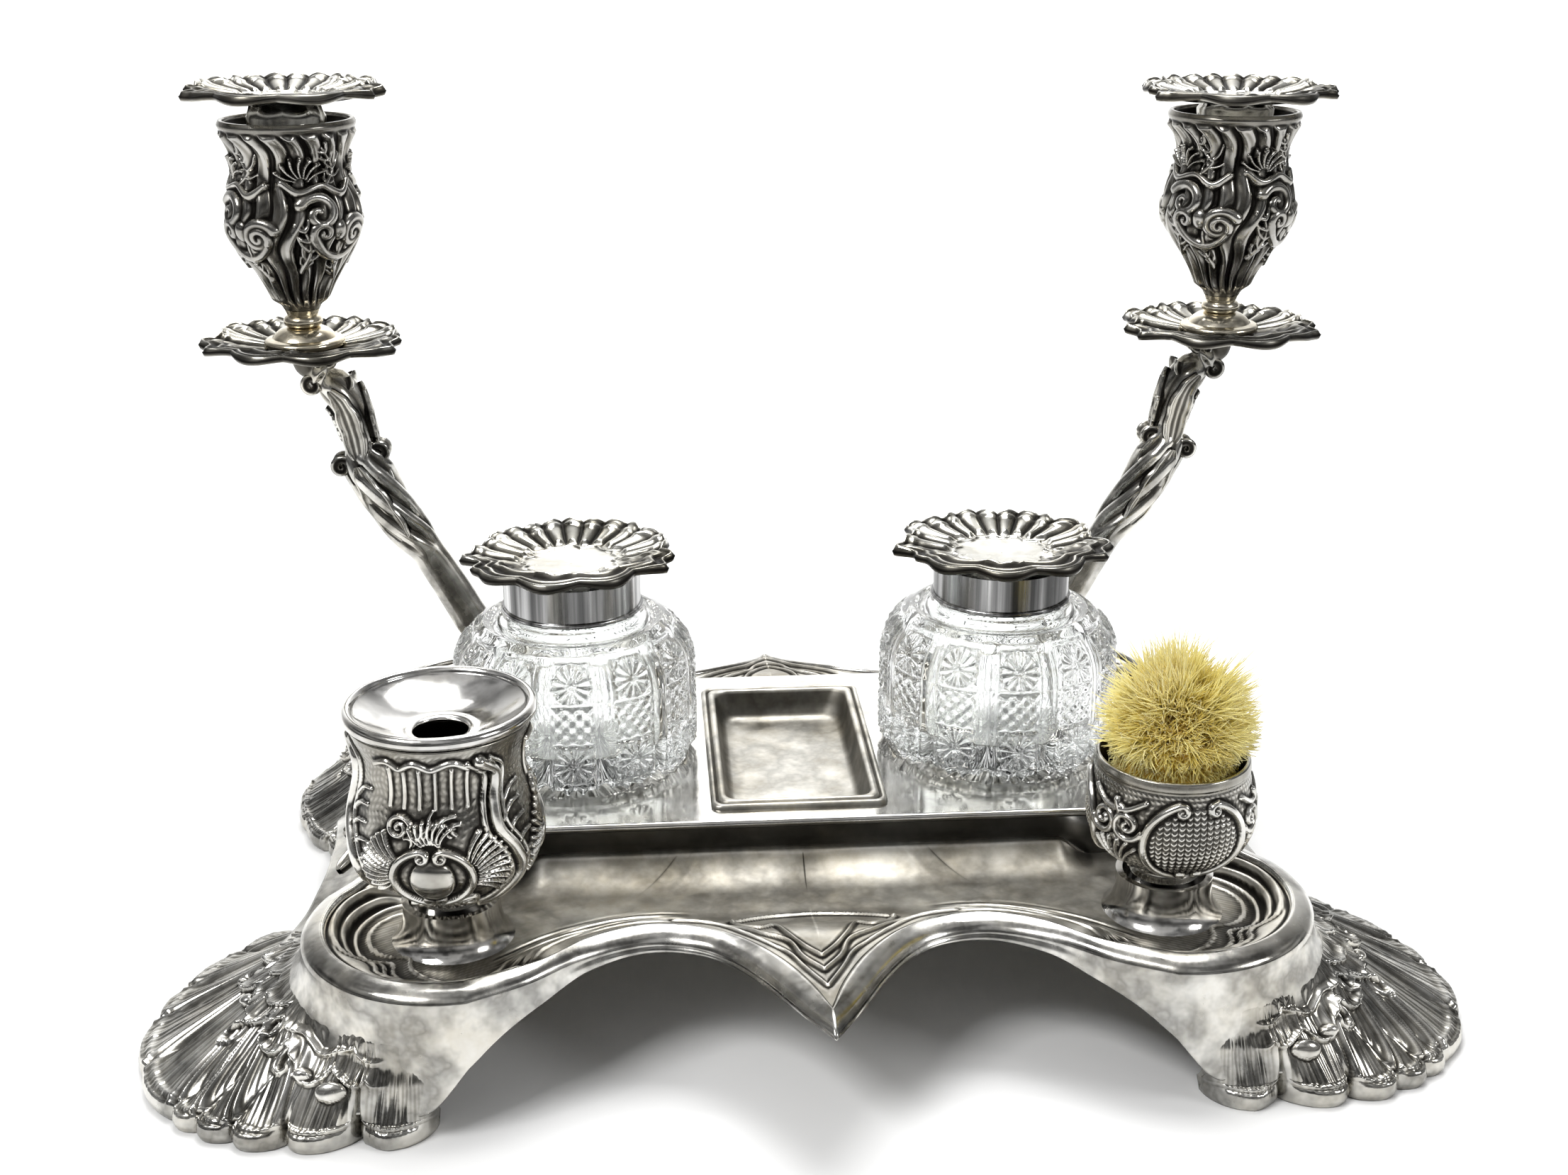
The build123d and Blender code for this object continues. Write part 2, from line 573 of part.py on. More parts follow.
def cup_base(side):
    """Turned foot with a knop that screws down on the peg and clamps the pan."""
    low = CUP_BASE_Z
    high = CANDLE_CUP_Z - 0.02
    outline = [
        Line((2.52, low), (12.2, low)),
        ThreePointArc((12.2, low), (12.9, low + 1.2), (12.0, low + 2.4)),
        Line((12.0, low + 2.4), (10.2, low + 2.8)),
        Spline((10.2, low + 2.8), (8.6, low + 4.6), (4.6, low + 6.2)),
        ThreePointArc((4.6, low + 6.2), (6.2, low + 8.0), (4.8, low + 10.0)),
        Line((4.8, low + 10.0), (5.6, high)),
        Line((5.6, high), (2.52, high)),
        Line((2.52, high), (2.52, low)),
    ]
    return at_candle(side, solid_of(outline))


def candle_cup(side):
    """Vase-shaped cup with a moulded rim."""
    low, top = CANDLE_CUP_Z, CANDLE_CUP_TOP
    outside = [(5.8, low), (8.4, low + 7), (13.5, low + 15), (18.8, low + 23), (20.2, low + 31),
               (18.6, low + 38), (16.6, low + 45), (17.2, low + 51), (20.4, low + 55.5), (21.2, top)]
    inside = [(7.0, low + 19), (13.6, low + 25), (16.6, low + 31), (15.4, low + 39), (13.9, low + 46),
              (13.9, low + 52), (14.6, top)]
    body = vessel(outside, inside) + Pos(0, 0, top - 1.0) * (Torus(20.6, 1.0))
    return at_candle(side, body)


def nozzle(side):
    """Loose nozzle: a tube that drops into the candle cup under a shell pan."""
    rest = CANDLE_CUP_TOP + 0.3
    tube = ring(NOZZLE_TUBE_R, CANDLE_R, NOZZLE_FOOT, rest + 2)
    floor = ring(NOZZLE_TUBE_R, 2.0, NOZZLE_FOOT - 1.2, NOZZLE_FOOT + 0.4)
    band = ring(13.2, CANDLE_R, rest - 0.2 - 3.6, rest + 1)
    seat = ring(17.0, CANDLE_R, rest, rest + 2)
    return at_candle(side, shell_pan(rest, CANDLE_R) + tube + floor + band + seat)


# ---- export ----

def build_all():
    pieces = {
        "stand_tray": stand_tray(),
        "ink_plinth": ink_plinth(),
        "nib_tray": nib_tray(),
        "plinth_nuts": plinth_nuts(),
        "socket_nuts": socket_nuts(),
        "pot_body": pot_body(),
        "pot_cover": pot_cover(),
        "wiper_cup": wiper_cup(),
        "pen_wiper": pen_wiper(),
    }
    front, rear = shell_foot(), shell_foot(REAR_SQUEEZE)
    pair_makers = {
        "socket_ring": socket_ring,
        "branch_receiver": branch_receiver,
        "glass_bottle": glass_bottle,
        "collar": collar,
        "hinge_pin": hinge_pin,
        "ink_lid": ink_lid,
        "candle_branch": candle_branch,
        "drip_pan": drip_pan,
        "cup_base": cup_base,
        "candle_cup": candle_cup,
        "nozzle": nozzle,
    }
    for name, side in SIDES.items():
        pieces["foot_front_" + name] = mirrored_corner(front, side, -1)
        pieces["foot_rear_" + name] = mirrored_corner(rear, side, 1)
        for part_name, maker in pair_makers.items():
            pieces[part_name + "_" + name] = maker(side)
    return pieces


os.makedirs("parts", exist_ok=True)
for node, shape in build_all().items():
    export_step(shape, "parts/" + node + ".step")
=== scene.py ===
import math

import bpy
import numpy as np
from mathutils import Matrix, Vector


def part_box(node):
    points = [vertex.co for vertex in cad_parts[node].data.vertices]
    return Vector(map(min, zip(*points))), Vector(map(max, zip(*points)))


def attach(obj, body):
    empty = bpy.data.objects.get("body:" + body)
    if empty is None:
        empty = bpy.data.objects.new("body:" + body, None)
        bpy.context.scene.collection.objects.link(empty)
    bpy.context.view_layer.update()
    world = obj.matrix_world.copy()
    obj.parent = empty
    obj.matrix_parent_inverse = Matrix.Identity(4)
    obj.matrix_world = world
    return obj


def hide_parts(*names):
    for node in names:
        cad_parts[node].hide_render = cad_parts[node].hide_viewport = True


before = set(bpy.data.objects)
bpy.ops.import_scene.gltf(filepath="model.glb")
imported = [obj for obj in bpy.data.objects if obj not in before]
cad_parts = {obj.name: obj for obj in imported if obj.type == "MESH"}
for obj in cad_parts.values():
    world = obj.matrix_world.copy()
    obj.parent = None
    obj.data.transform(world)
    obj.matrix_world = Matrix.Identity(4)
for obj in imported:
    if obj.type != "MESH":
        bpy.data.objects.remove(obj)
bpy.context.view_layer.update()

# ---- sizes: millimetres, taken from the frame where it has them ----

MM = 0.001


def low(node):
    return np.array(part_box(node)[0]) / MM


def high(node):
    return np.array(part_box(node)[1]) / MM


def middle(node):
    return (low(node) + high(node)) / 2


FINE = 1.0   # share of the full mesh density
SIDES = {"left": -1, "right": 1}
LOBE = np.array([97.0, -77.0])          # centre of the front right corner of the tray
LOBE_R = 39.5                           # and its radius
CUSP_Y = high("stand_tray")[1]          # reach of the point in the middle of the front
ARCH = (46.0, 91.0)                     # crown of the arch beside it
WAIST_X = 113.0                         # half the width at the narrowest place
RIM_TOP = high("stand_tray")[2]
FLOOR_Z = 33.7                          # bottom of the pen trough
SHEET_TOP = 35.0                        # height where the sheet starts to flare into the feet
BACK_DROP = 8.0                         # how much lower and shorter the back point is than the front one
REAR_SQUEEZE = 0.56                     # spread of the rear feet against the front ones
FAN = (-76, 43)                         # directions, in degrees, between which a foot spreads
BRANCH_Y = 90.0                         # plane of both candle branches
POST_X, CANDLE_X = 97.0, 151.0          # where a branch stands and where it holds its candle
PAN_R = 31.5                            # radius of the shell pans
NOZZLE_LIFT = {"left": 4.6, "right": 2.2}   # how far the pan of a nozzle sits above its cup
GIRTH = 36.8                            # radius of a bottle

# toes of a foot: their borders in degrees, and the depth of the cut beside each
PETALS = (-86, -62, -46, -36, -28.5, -22.5, -7, 8.5, 20, 34, 49)
NOTCHES = (8, 8.5, 6, 5, 4, 3, 2.5, 4, 3, 6)


# ---- curves ----

def smooth(points, count):
    """Catmull-Rom curve through the points."""
    p = np.array(points, float)
    p = np.vstack([2 * p[0] - p[1], p, 2 * p[-1] - p[-2]])
    spans = len(p) - 3
    t = np.linspace(0, spans - 1e-9, count)
    i = t.astype(int)
    t = (t - i)[:, None]
    a, b, c, d = p[i], p[i + 1], p[i + 2], p[i + 3]
    square = (2 * a - 5 * b + 4 * c - d) * t ** 2
    return 0.5 * (2 * b + (c - a) * t + square + (3 * b - a - 3 * c + d) * t ** 3)


def straight(*points, step=0.6):
    """Points along straight runs, close enough for a crisp corner."""
    out = []
    for a, b in zip(points, points[1:]):
        a, b = np.array(a, float), np.array(b, float)
        n = max(2, int(np.linalg.norm(b - a) / step) + 1)
        out.append(a + (b - a) * np.linspace(0, 1, n, endpoint=False)[:, None])
    out.append(np.array([points[-1]], float))
    return np.vstack(out)


def arc(cx, cy, r, a0, a1, n=24, ry=None):
    a = np.radians(np.linspace(a0, a1, n))
    return np.stack([cx + r * np.cos(a), cy + (ry or r) * np.sin(a)], 1)


def circle(n):
    """n angles that go once round."""
    return np.linspace(0, 2 * math.pi, n, endpoint=False)


def spiral(cx, cy, r, start, turns, n=40):
    """Volute that winds in towards its centre."""
    t = np.linspace(0, 1, n)
    a = np.radians(start + 360 * turns * t)
    rr = r * (1 - 0.86 * t)
    return np.stack([cx + rr * np.cos(a), cy + rr * np.sin(a)], 1)


def ease(x):
    """0 to 1 with a soft start and end."""
    x = np.clip(x, 0, 1)
    return x * x * (3 - 2 * x)


def hump(gap, wide):
    """Rounded ridge: 1 where the gap is 0, fading out over the width."""
    return np.exp(-(gap / wide) ** 2)


def dome(x):
    """Quarter-circle drop from 1 at x = 0 to 0 at x = 1."""
    return np.sqrt(np.clip(1 - x, 0, 1))


def unit(v, tiny=1e-9):
    """Vectors brought to length 1."""
    return v / (np.linalg.norm(v, axis=-1, keepdims=True) + tiny)


def off_segment(x, y, a, b):
    """Offsets from every (x, y) to the nearest place on the segment from a to b."""
    dx, dy = b[0] - a[0], b[1] - a[1]
    t = np.clip(((x - a[0]) * dx + (y - a[1]) * dy) / (dx * dx + dy * dy + 1e-9), 0, 1)
    return x - a[0] - t * dx, y - a[1] - t * dy


# ---- meshes ----

def build(name, points, faces, tone=None, material=None, body=None):
    """New piece from points in millimetres."""
    mesh = bpy.data.meshes.new(name)
    mesh.from_pydata((np.asarray(points) * MM).tolist(), [], np.asarray(faces).tolist())
    if tone is not None:
        layer = mesh.attributes.new("tone", "FLOAT", "POINT")
        layer.data.foreach_set("value", np.asarray(tone, float).ravel())
    mesh.polygons.foreach_set("use_smooth", [True] * len(mesh.polygons))
    piece = bpy.data.objects.new(name, mesh)
    bpy.context.scene.collection.objects.link(piece)
    if material:
        mesh.materials.append(material)
    if body:
        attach(piece, body)
    return piece


def grid_faces(nu, nv, wrap_u=False, wrap_v=False, flip=False):
    idx = np.arange(nu * nv).reshape(nu, nv)
    if wrap_u:
        idx = np.vstack([idx, idx[:1]])
    if wrap_v:
        idx = np.hstack([idx, idx[:, :1]])
    quad = [idx[:-1, :-1], idx[1:, :-1], idx[1:, 1:], idx[:-1, 1:]]
    faces = np.stack(quad, -1).reshape(-1, 4)
    return faces[:, ::-1] if flip else faces


def grid(name, pts, wrap_u=False, wrap_v=False, tone=None, flip=False, **more):
    nu, nv = pts.shape[:2]
    return build(name, pts.reshape(-1, 3), grid_faces(nu, nv, wrap_u, wrap_v, flip), tone, **more)


def normals(pts, wrap_u=False):
    """Unit normals of a grid of points."""
    du = np.roll(pts, -1, 0) - np.roll(pts, 1, 0) if wrap_u else np.gradient(pts, axis=0)
    dv = np.gradient(pts, axis=1)
    return unit(np.cross(du, dv))


def soften(h, rounds, wrap_u=True):
    """Height map blurred a number of times."""
    for _ in range(rounds):
        if wrap_u:
            h = (np.roll(h, 1, 0) + h * 2 + np.roll(h, -1, 0)) / 4
        else:
            h = (np.vstack([h[:1], h[:-1]]) + h * 2 + np.vstack([h[1:], h[-1:]])) / 4
        h = (np.hstack([h[:, :1], h[:, :-1]]) + h * 2 + np.hstack([h[:, 1:], h[:, -1:]])) / 4
    return h


def cavity(h, rounds=14, gain=1.6, wrap_u=True):
    """0 in the recesses, 1 on what stands proud."""
    return np.clip(0.5 + gain * (h - soften(h, rounds, wrap_u)), 0, 1)


def lathe(name, centre, outside, rest=None, around=360, relief=None, tone_base=0.62, inner_tone=0.14, **more):
    """Turned piece. outside is the (r, z) profile from the bottom up; rest carries it on over the lip."""
    turn = circle(int(around * FINE))
    profile = np.vstack([outside, rest]) if rest is not None else np.asarray(outside)
    r, z = profile[:, 0], profile[:, 1]
    pts = np.stack([np.outer(np.cos(turn), r), np.outer(np.sin(turn), r), np.outer(1 + 0 * turn, z)], -1)
    tone = np.full(pts.shape[:2], tone_base)
    if relief is not None:
        n = len(outside)
        h = relief(turn, np.asarray(outside))
        pts[:, :n] += normals(pts[:, :n], True) * h[..., None]
        tone[:, :n] = cavity(h)
        # painted shade inside the vessel: everything a few rows past the lip gets the dark inner tone
        tone[:, n + 4:] = inner_tone
    pts += np.array([centre[0], centre[1], 0.0])
    return grid(name, pts, wrap_u=True, tone=tone, **more)


class Chasing:
    """Height map in millimetres on a strip of metal that closes on itself, drawn with rounded ridges."""

    def __init__(self, turn, profile, radius):
        run = np.r_[0, np.cumsum(np.hypot(*np.diff(profile, axis=0).T))]
        self.wide = 2 * math.pi * radius
        self.tall = run[-1]
        self.x, self.y = np.meshgrid(turn * radius, run, indexing="ij")
        self.h = np.zeros_like(self.x)

    def ridge(self, points, wide, tall, end=0.5):
        """Rounded ridge along points, wide at the start and end times that at the finish."""
        points = np.asarray(points, float)
        size = np.linspace(wide, wide * end, len(points))
        for shift in (-self.wide, 0, self.wide):
            p = points + (shift, 0)
            x0, x1 = p[:, 0].min() - wide, p[:, 0].max() + wide
            cols = np.where((self.x[:, 0] >= x0) & (self.x[:, 0] <= x1))[0]
            if not len(cols):
                continue
            rows = np.where((self.y[0] >= p[:, 1].min() - wide) & (self.y[0] <= p[:, 1].max() + wide))[0]
            if not len(rows):
                continue
            spot = np.ix_(cols, rows)
            x, y, h = self.x[spot], self.y[spot], self.h[spot]
            for a, b, w in zip(p, p[1:], size):
                ox, oy = off_segment(x, y, a, b)
                low_end = 0.35 + 0.65 * w / wide
                h = np.maximum(h, tall * low_end * dome((ox ** 2 + oy ** 2) / (w * w)))
            self.h[spot] = h

    def boss(self, cx, cy, rx, ry, tall):
        """Oval dome."""
        for shift in (-self.wide, 0, self.wide):
            d = ((self.x - cx - shift) / rx) ** 2 + ((self.y - cy) / ry) ** 2
            self.h = np.maximum(self.h, tall * dome(d))

    def fan(self, cx, cy, aim, spread, ribs, near, far, wide=0.8, tall=0.9):
        """Shell fan: ribs that widen outwards."""
        for a in np.radians(np.linspace(aim - spread / 2, aim + spread / 2, ribs)):
            u = np.array([math.cos(a), math.sin(a)])
            t = np.linspace(0, 1, 8)[:, None]
            bend = np.array([-u[1], u[0]]) * np.sin(t * math.pi) * 0.6
            self.ridge(np.array([cx, cy]) + u * (near + (far - near) * t) + bend, wide * 0.55, tall, end=1.9)

    def volute(self, cx, cy, r, start, turns, wide=0.9, tall=1.2):
        self.ridge(spiral(cx, cy, r, start, turns), wide, tall, end=0.6)

    def c_scroll(self, cx, cy, rx, ry, a0, a1, wide=1.2, tall=1.5):
        """Bowed rib with a curl at each end."""
        body = arc(cx, cy, rx, a0, a1, 30, ry)
        self.ridge(body, wide, tall, end=0.8)
        side = 1 if a1 > a0 else -1
        for point, begin, sense in ((body[0], a0, -side), (body[-1], a1, side)):
            inward = np.array([cx, cy]) - point
            inward = inward / (np.linalg.norm(inward) + 1e-9) * wide * 1.5
            curl = spiral(*(point + inward), wide * 1.5, begin, 1.1 * sense, 26)
            self.ridge(curl, wide * 0.8, tall, end=0.7)

    def leaf(self, points, wide, tall=1.0, pairs=5):
        """Acanthus frond: a stem with curved side lobes."""
        p = smooth(points, 30)
        self.ridge(p, wide * 0.32, tall * 1.2, end=0.4)
        for k in np.linspace(3, 26, pairs).astype(int):
            d = p[k + 2] - p[k]
            d = d / (np.linalg.norm(d) + 1e-9)
            n = np.array([-d[1], d[0]])
            size = wide * math.sin(math.pi * (k + 4) / 36) + 0.3
            for s in (-1, 1):
                tip = [p[k], p[k] + d * size * 0.5 + n * s * size * 0.6, p[k] + d * size * 1.3 + n * s * size]
                self.ridge(smooth(tip, 8), wide * 0.26, tall, end=0.5)


# ---- materials ----

def shader(name, **values):
    """New material. The values are set on its shader's sockets, whose names have _ for a blank."""
    mat = bpy.data.materials.new(name)
    mat.use_nodes = True
    tree = mat.node_tree
    bsdf = tree.nodes["Principled BSDF"]
    for key, value in values.items():
        bsdf.inputs[key.replace("_", " ")].default_value = value
    return mat, tree, bsdf


def node(tree, kind, **values):
    """New node with values for its sockets or its own settings."""
    n = tree.nodes.new(kind)
    for key, value in values.items():
        if key in n.inputs:
            n.inputs[key].default_value = value
        else:
            setattr(n, key, value)
    return n


def ramp(tree, source, stops):
    """Colour ramp through (place, colour) stops; a plain number stands for a grey."""
    n = tree.nodes.new("ShaderNodeValToRGB")
    bar = n.color_ramp
    while len(bar.elements) < len(stops):
        bar.elements.new(0.5)
    for element, (place, colour) in zip(bar.elements, stops):
        element.position = place
        element.color = (*colour, 1) if isinstance(colour, tuple) else (colour, colour, colour, 1)
    tree.links.new(source, n.inputs["Fac"])
    return n.outputs["Color"]


def mix(tree, fac, a, b, blend="MIX"):
    """Blend of two colours; each value is a socket, a colour or a number."""
    n = tree.nodes.new("ShaderNodeMix")
    n.data_type = "RGBA"
    n.blend_type = blend
    for socket, value in ((n.inputs["Factor"], fac), (n.inputs["A"], a), (n.inputs["B"], b)):
        if isinstance(value, bpy.types.NodeSocket):
            tree.links.new(value, socket)
        elif isinstance(value, tuple):
            socket.default_value = (*value, 1)
        else:
            socket.default_value = value
    return n.outputs["Result"]


def noise(tree, scale, detail=4.0, stretch=(1, 1, 1), rough=0.55):
    """Cloudy pattern fixed to the piece."""
    where = tree.nodes.new("ShaderNodeTexCoord")
    place = node(tree, "ShaderNodeMapping", Scale=stretch)
    tree.links.new(where.outputs["Object"], place.inputs["Vector"])
    n = node(tree, "ShaderNodeTexNoise", Scale=scale, Detail=detail, Roughness=rough)
    tree.links.new(place.outputs["Vector"], n.inputs["Vector"])
    return n.outputs["Fac"]


def bump(tree, bsdf, source, strength, distance=0.0002):
    """Fine unevenness, on top of any that is there already."""
    n = node(tree, "ShaderNodeBump", Strength=strength, Distance=distance)
    tree.links.new(source, n.inputs["Height"])
    before = bsdf.inputs["Normal"].links
    if before:
        tree.links.new(before[0].from_socket, n.inputs["Normal"])
    tree.links.new(n.outputs["Normal"], bsdf.inputs["Normal"])


def silver(name, bright=(0.86, 0.85, 0.82), tarnish=(0.55, 0.50, 0.40), rough=(0.10, 0.30), relief=False,
           stretch=(1, 1, 1), stain=0.5, dark_reflection=0.35):
    """Old silver plate: brushed scratches, patchy tarnish, large patches of painted dark reflection and, with
    relief, dark oxide and painted shade in the recesses.
    """
    mat, tree, bsdf = shader(name, Metallic=1.0)
    patch = ramp(tree, noise(tree, 38, 7, rough=0.75), [(0.42, 0), (0.66, stain)])
    colour = mix(tree, patch, bright, tarnish)
    # painted dark reflections: large random patches of darker grey multiplied into the colour
    dark_reflection_patches = ramp(tree, noise(tree, 26, 5, rough=0.62), [(0.40, 1.0), (0.50, 1.0 - dark_reflection), (0.62, 1.0)])
    colour = mix(tree, 1.0, colour, dark_reflection_patches, "MULTIPLY")
    streak = noise(tree, 900, 3, stretch)
    roughness = ramp(tree, noise(tree, 120, 5), [(0.35, rough[0]), (0.75, rough[1])])
    if relief:
        tone = node(tree, "ShaderNodeAttribute", attribute_name="tone")
        # tone darkens the colour: real oxide in the recesses together with painted shade in the hollows and
        # creases
        oxide_and_shade = ramp(tree, tone.outputs["Fac"], [(0.10, (0.030, 0.028, 0.026)), (0.36, (0.16, 0.155, 0.145)),
                                                 (0.50, (0.52, 0.51, 0.48)), (0.66, (1.0, 1.0, 0.99))])
        colour = mix(tree, 1.0, colour, oxide_and_shade, "MULTIPLY")
        dull = ramp(tree, tone.outputs["Fac"], [(0.2, 0.30), (0.55, 0.0)])
        roughness = mix(tree, 1.0, roughness, dull, "ADD")
    tree.links.new(colour, bsdf.inputs["Base Color"])
    tree.links.new(roughness, bsdf.inputs["Roughness"])
    bump(tree, bsdf, streak, 0.06)
    bump(tree, bsdf, noise(tree, 60, 3), 0.10, 0.0006)
    return mat


def banded(name):
    """Turned silver with fine upright brush lines and broad dark reflections."""
    mat, tree, bsdf = shader(name, Metallic=1.0)
    lines = ramp(tree, noise(tree, 260, 4, (1, 1, 0.02)), [(0.30, 0.10), (0.48, 0.34), (0.62, 0.80)])
    broad = ramp(tree, noise(tree, 60, 2, (1, 1, 0.05)), [(0.42, 0.22), (0.60, 1.0)])
    tree.links.new(mix(tree, 1.0, lines, broad, "MULTIPLY"), bsdf.inputs["Base Color"])
    wear = ramp(tree, noise(tree, 200, 3, (1, 1, 0.05)), [(0.3, 0.16), (0.7, 0.34)])
    tree.links.new(wear, bsdf.inputs["Roughness"])
    bump(tree, bsdf, noise(tree, 500, 2, (1, 1, 0.02)), 0.1)
    return mat


def plinth_material():
    """Polished plate with painted shade: dark on the upright faces below the bead, full colour on the top and
    a grey line along the crown of the bead.
    """
    mat = silver("plinth_plate", bright=(0.76, 0.75, 0.72), rough=(0.08, 0.20), dark_reflection=0.25)
    tree = mat.node_tree
    bsdf = tree.nodes["Principled BSDF"]
    where = tree.nodes.new("ShaderNodeTexCoord")
    split = tree.nodes.new("ShaderNodeSeparateXYZ")
    tree.links.new(where.outputs["Object"], split.inputs[0])
    scaled = node(tree, "ShaderNodeMapRange", **{"From Min": 0.030, "From Max": 0.050})
    tree.links.new(split.outputs["Z"], scaled.inputs["Value"])
    shade = ramp(tree, scaled.outputs["Result"], [(0.0, 0.25), (0.60, 0.16), (0.82, 0.22), (0.88, 1.0),
                                                  (0.95, 1.0), (0.965, 0.42)])
    before = bsdf.inputs["Base Color"].links[0].from_socket
    tree.links.new(mix(tree, 1.0, before, shade, "MULTIPLY"), bsdf.inputs["Base Color"])
    return mat


def glass_material():
    """Clear crystal with faint wear."""
    tint = (0.97, 0.985, 0.98, 1)
    mat, tree, bsdf = shader("cut_crystal", Base_Color=tint, Transmission_Weight=1.0, IOR=1.5)
    wear = ramp(tree, noise(tree, 300, 3), [(0.4, 0.0), (0.8, 0.06)])
    tree.links.new(wear, bsdf.inputs["Roughness"])
    return mat


def fibre_material():
    """Yellow fibre with painted shade, darker towards the root."""
    mat, tree, bsdf = shader("yellow_tufts", Roughness=0.85, Sheen_Weight=0.5)
    tone = node(tree, "ShaderNodeAttribute", attribute_name="tone")
    hue = ramp(tree, tone.outputs["Fac"], [(0.0, (0.60, 0.32, 0.012)), (0.30, (0.94, 0.66, 0.06)),
                                           (0.62, (1.0, 0.82, 0.17)), (1.0, (1.0, 0.91, 0.38))])
    tint = mix(tree, noise(tree, 300, 2), hue, (0.95, 0.80, 0.30))
    tree.links.new(mix(tree, 0.35, hue, tint), bsdf.inputs["Base Color"])
    return mat


CHASED = silver("plate_chased", bright=(0.84, 0.83, 0.80), relief=True, rough=(0.12, 0.30))
CAST = silver("plate_cast", bright=(0.78, 0.77, 0.74), relief=True, rough=(0.13, 0.34), dark_reflection=0.6)
DARK = silver("plate_darkened", bright=(0.50, 0.49, 0.47), tarnish=(0.36, 0.33, 0.27), relief=True,
              rough=(0.14, 0.30))
FLOOR = silver("plate_engraved", bright=(0.80, 0.78, 0.73), relief=True, stretch=(0.25, 3, 1),
               rough=(0.32, 0.52), stain=0.8, dark_reflection=0.45)
SMOOTH = silver("plate_smooth", bright=(0.84, 0.83, 0.81), stretch=(1, 1, 0.12), rough=(0.08, 0.24),
                stain=0.35)
SHELL = silver("plate_shell", bright=(0.76, 0.75, 0.71), tarnish=(0.44, 0.39, 0.27), relief=True,
               rough=(0.10, 0.28))
COLLAR = banded("collar_brushed")
PLINTH = plinth_material()
WORN = silver("plate_worn", bright=(0.86, 0.80, 0.66), tarnish=(0.62, 0.50, 0.30), rough=(0.14, 0.32))
STEEL = silver("pin_steel", bright=(0.55, 0.55, 0.55), rough=(0.3, 0.5))
BRASS = silver("nut_brass", bright=(0.72, 0.54, 0.26), tarnish=(0.40, 0.28, 0.12), rough=(0.3, 0.5))
GLASS = glass_material()
TUFTS = fibre_material()


def paint(material, *names):
    """A better material for CAD nodes that stay."""
    for name in names:
        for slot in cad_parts[name].material_slots:
            slot.material = material


# ---- stand ----

def corner_reach(angle, squeeze):
    """How far the sheet of a corner reaches at the ground, for a direction."""
    u = (angle - FAN[0]) / (FAN[1] - FAN[0])
    reach = 43 + 42 * np.sin(np.radians(90 * np.clip(u * 1.45, 0, 1))) ** 1.3 - 9 * np.clip(u - 0.8, 0, 1)
    return LOBE_R + (reach - LOBE_R) * squeeze


def flare(angle, z, squeeze):
    """Radius of the flared sheet of a corner at a height."""
    fallen = np.clip(SHEET_TOP - z, 0, SHEET_TOP) / SHEET_TOP
    return LOBE_R + (corner_reach(angle, squeeze) - LOBE_R) * fallen ** 1.7


def quarter_outline(inset, count=90):
    """Front right quarter of the rim, from the front point round to the middle of the side."""
    r = LOBE_R - inset

    def on_lobe(a):
        return LOBE + r * np.array([math.cos(math.radians(a)), math.sin(math.radians(a))])

    front = smooth([
        (0, -CUSP_Y + 1.5 * inset), (8 - 0.6 * inset, -124.5 + 1.2 * inset),
        (16 - 0.8 * inset, -110 + 0.9 * inset), (24.5 - 0.6 * inset, -98.8 + 0.9 * inset),
        (34 - 0.2 * inset, -92.6 + inset), (ARCH[0], -ARCH[1] + inset), (60, -96.5 + inset),
        (74 - 0.2 * inset, -107.5 + inset), on_lobe(-100)], count)
    lobe = arc(*LOBE, r, -100, 25, count)
    end = on_lobe(25)
    bend = end[0] - (WAIST_X - inset)
    big = (end[1] ** 2 + bend ** 2) / (2 * bend)
    sweep = math.degrees(math.asin(-end[1] / big))
    waist = arc(WAIST_X - inset + big, 0, big, 180 + sweep, 180, count // 2)
    return np.vstack([front[:-1], lobe[:-1], waist])


def all_round(front, rear):
    """Quarter values carried round the whole outline, mirrored left and right."""
    half = np.concatenate([front, rear[:-1][::-1]])
    return np.concatenate([half, half[1:-1][::-1]])


def back_point(x, y):
    """0 to 1 towards the tip of the back edge, which hangs a little lower and shorter than the front one."""
    return ease((y - 84) / 46) * ease((64 - np.abs(x)) / 26)


def outline(inset, count=90):
    """The whole rim, counter-clockwise from the front point."""
    q = quarter_outline(inset, count)
    rear = q[:-1][::-1] * (1, -1)
    rear[:, 1] -= BACK_DROP * back_point(rear[:, 0], rear[:, 1])
    half = np.vstack([q, rear])
    return np.vstack([half, half[1:-1][::-1] * (-1, 1)])


def apron_rules(squeeze, count=90):
    """Lowest height and outward reach of the sheet for every point of a quarter outline."""
    q = quarter_outline(0.0, count)
    run = count - 1                     # points of the front stretch, and as many of the lobe
    x = q[:run, 0]
    low_front = np.interp(x, [0, 14, 50, 64, 76, 84, 90], [37.6, 36.6, 35.6, 34.4, 30.5, 26, 21])
    out_front = np.interp(x, [0, 55, 80, 90], [0.5, 0.6, 1.2, 1.8])
    angle = np.linspace(-100, 25, count)[:run]
    low_lobe = np.interp(angle, [-100, -94, -89, -84, -79, -72, 25], [21, 16, 11, 8, 7, 8, 10])
    out_lobe = (corner_reach(angle, squeeze) - LOBE_R) * ((SHEET_TOP - low_lobe) / SHEET_TOP) ** 1.7
    out_lobe = np.maximum(out_lobe, np.interp(angle, [-100, -84, -76, -60], [1.8, 4.0, 2.5, 0]))
    y = np.abs(q[2 * run:, 1])
    low_side = np.interp(y, [0, 30, 61], [20.0, 19.0, 12.0])
    out_side = np.interp(y, [0, 20, 40, 61], [28.0, 27.0, 25.0, out_lobe[-1]])
    return np.concatenate([low_front, low_lobe, low_side]), np.concatenate([out_front, out_lobe, out_side])


def ring_blur(values, rounds):
    """Values round a closed line, blurred a number of times."""
    for _ in range(rounds):
        values = (np.roll(values, 1) + 2 * values + np.roll(values, -1)) / 4
    return values


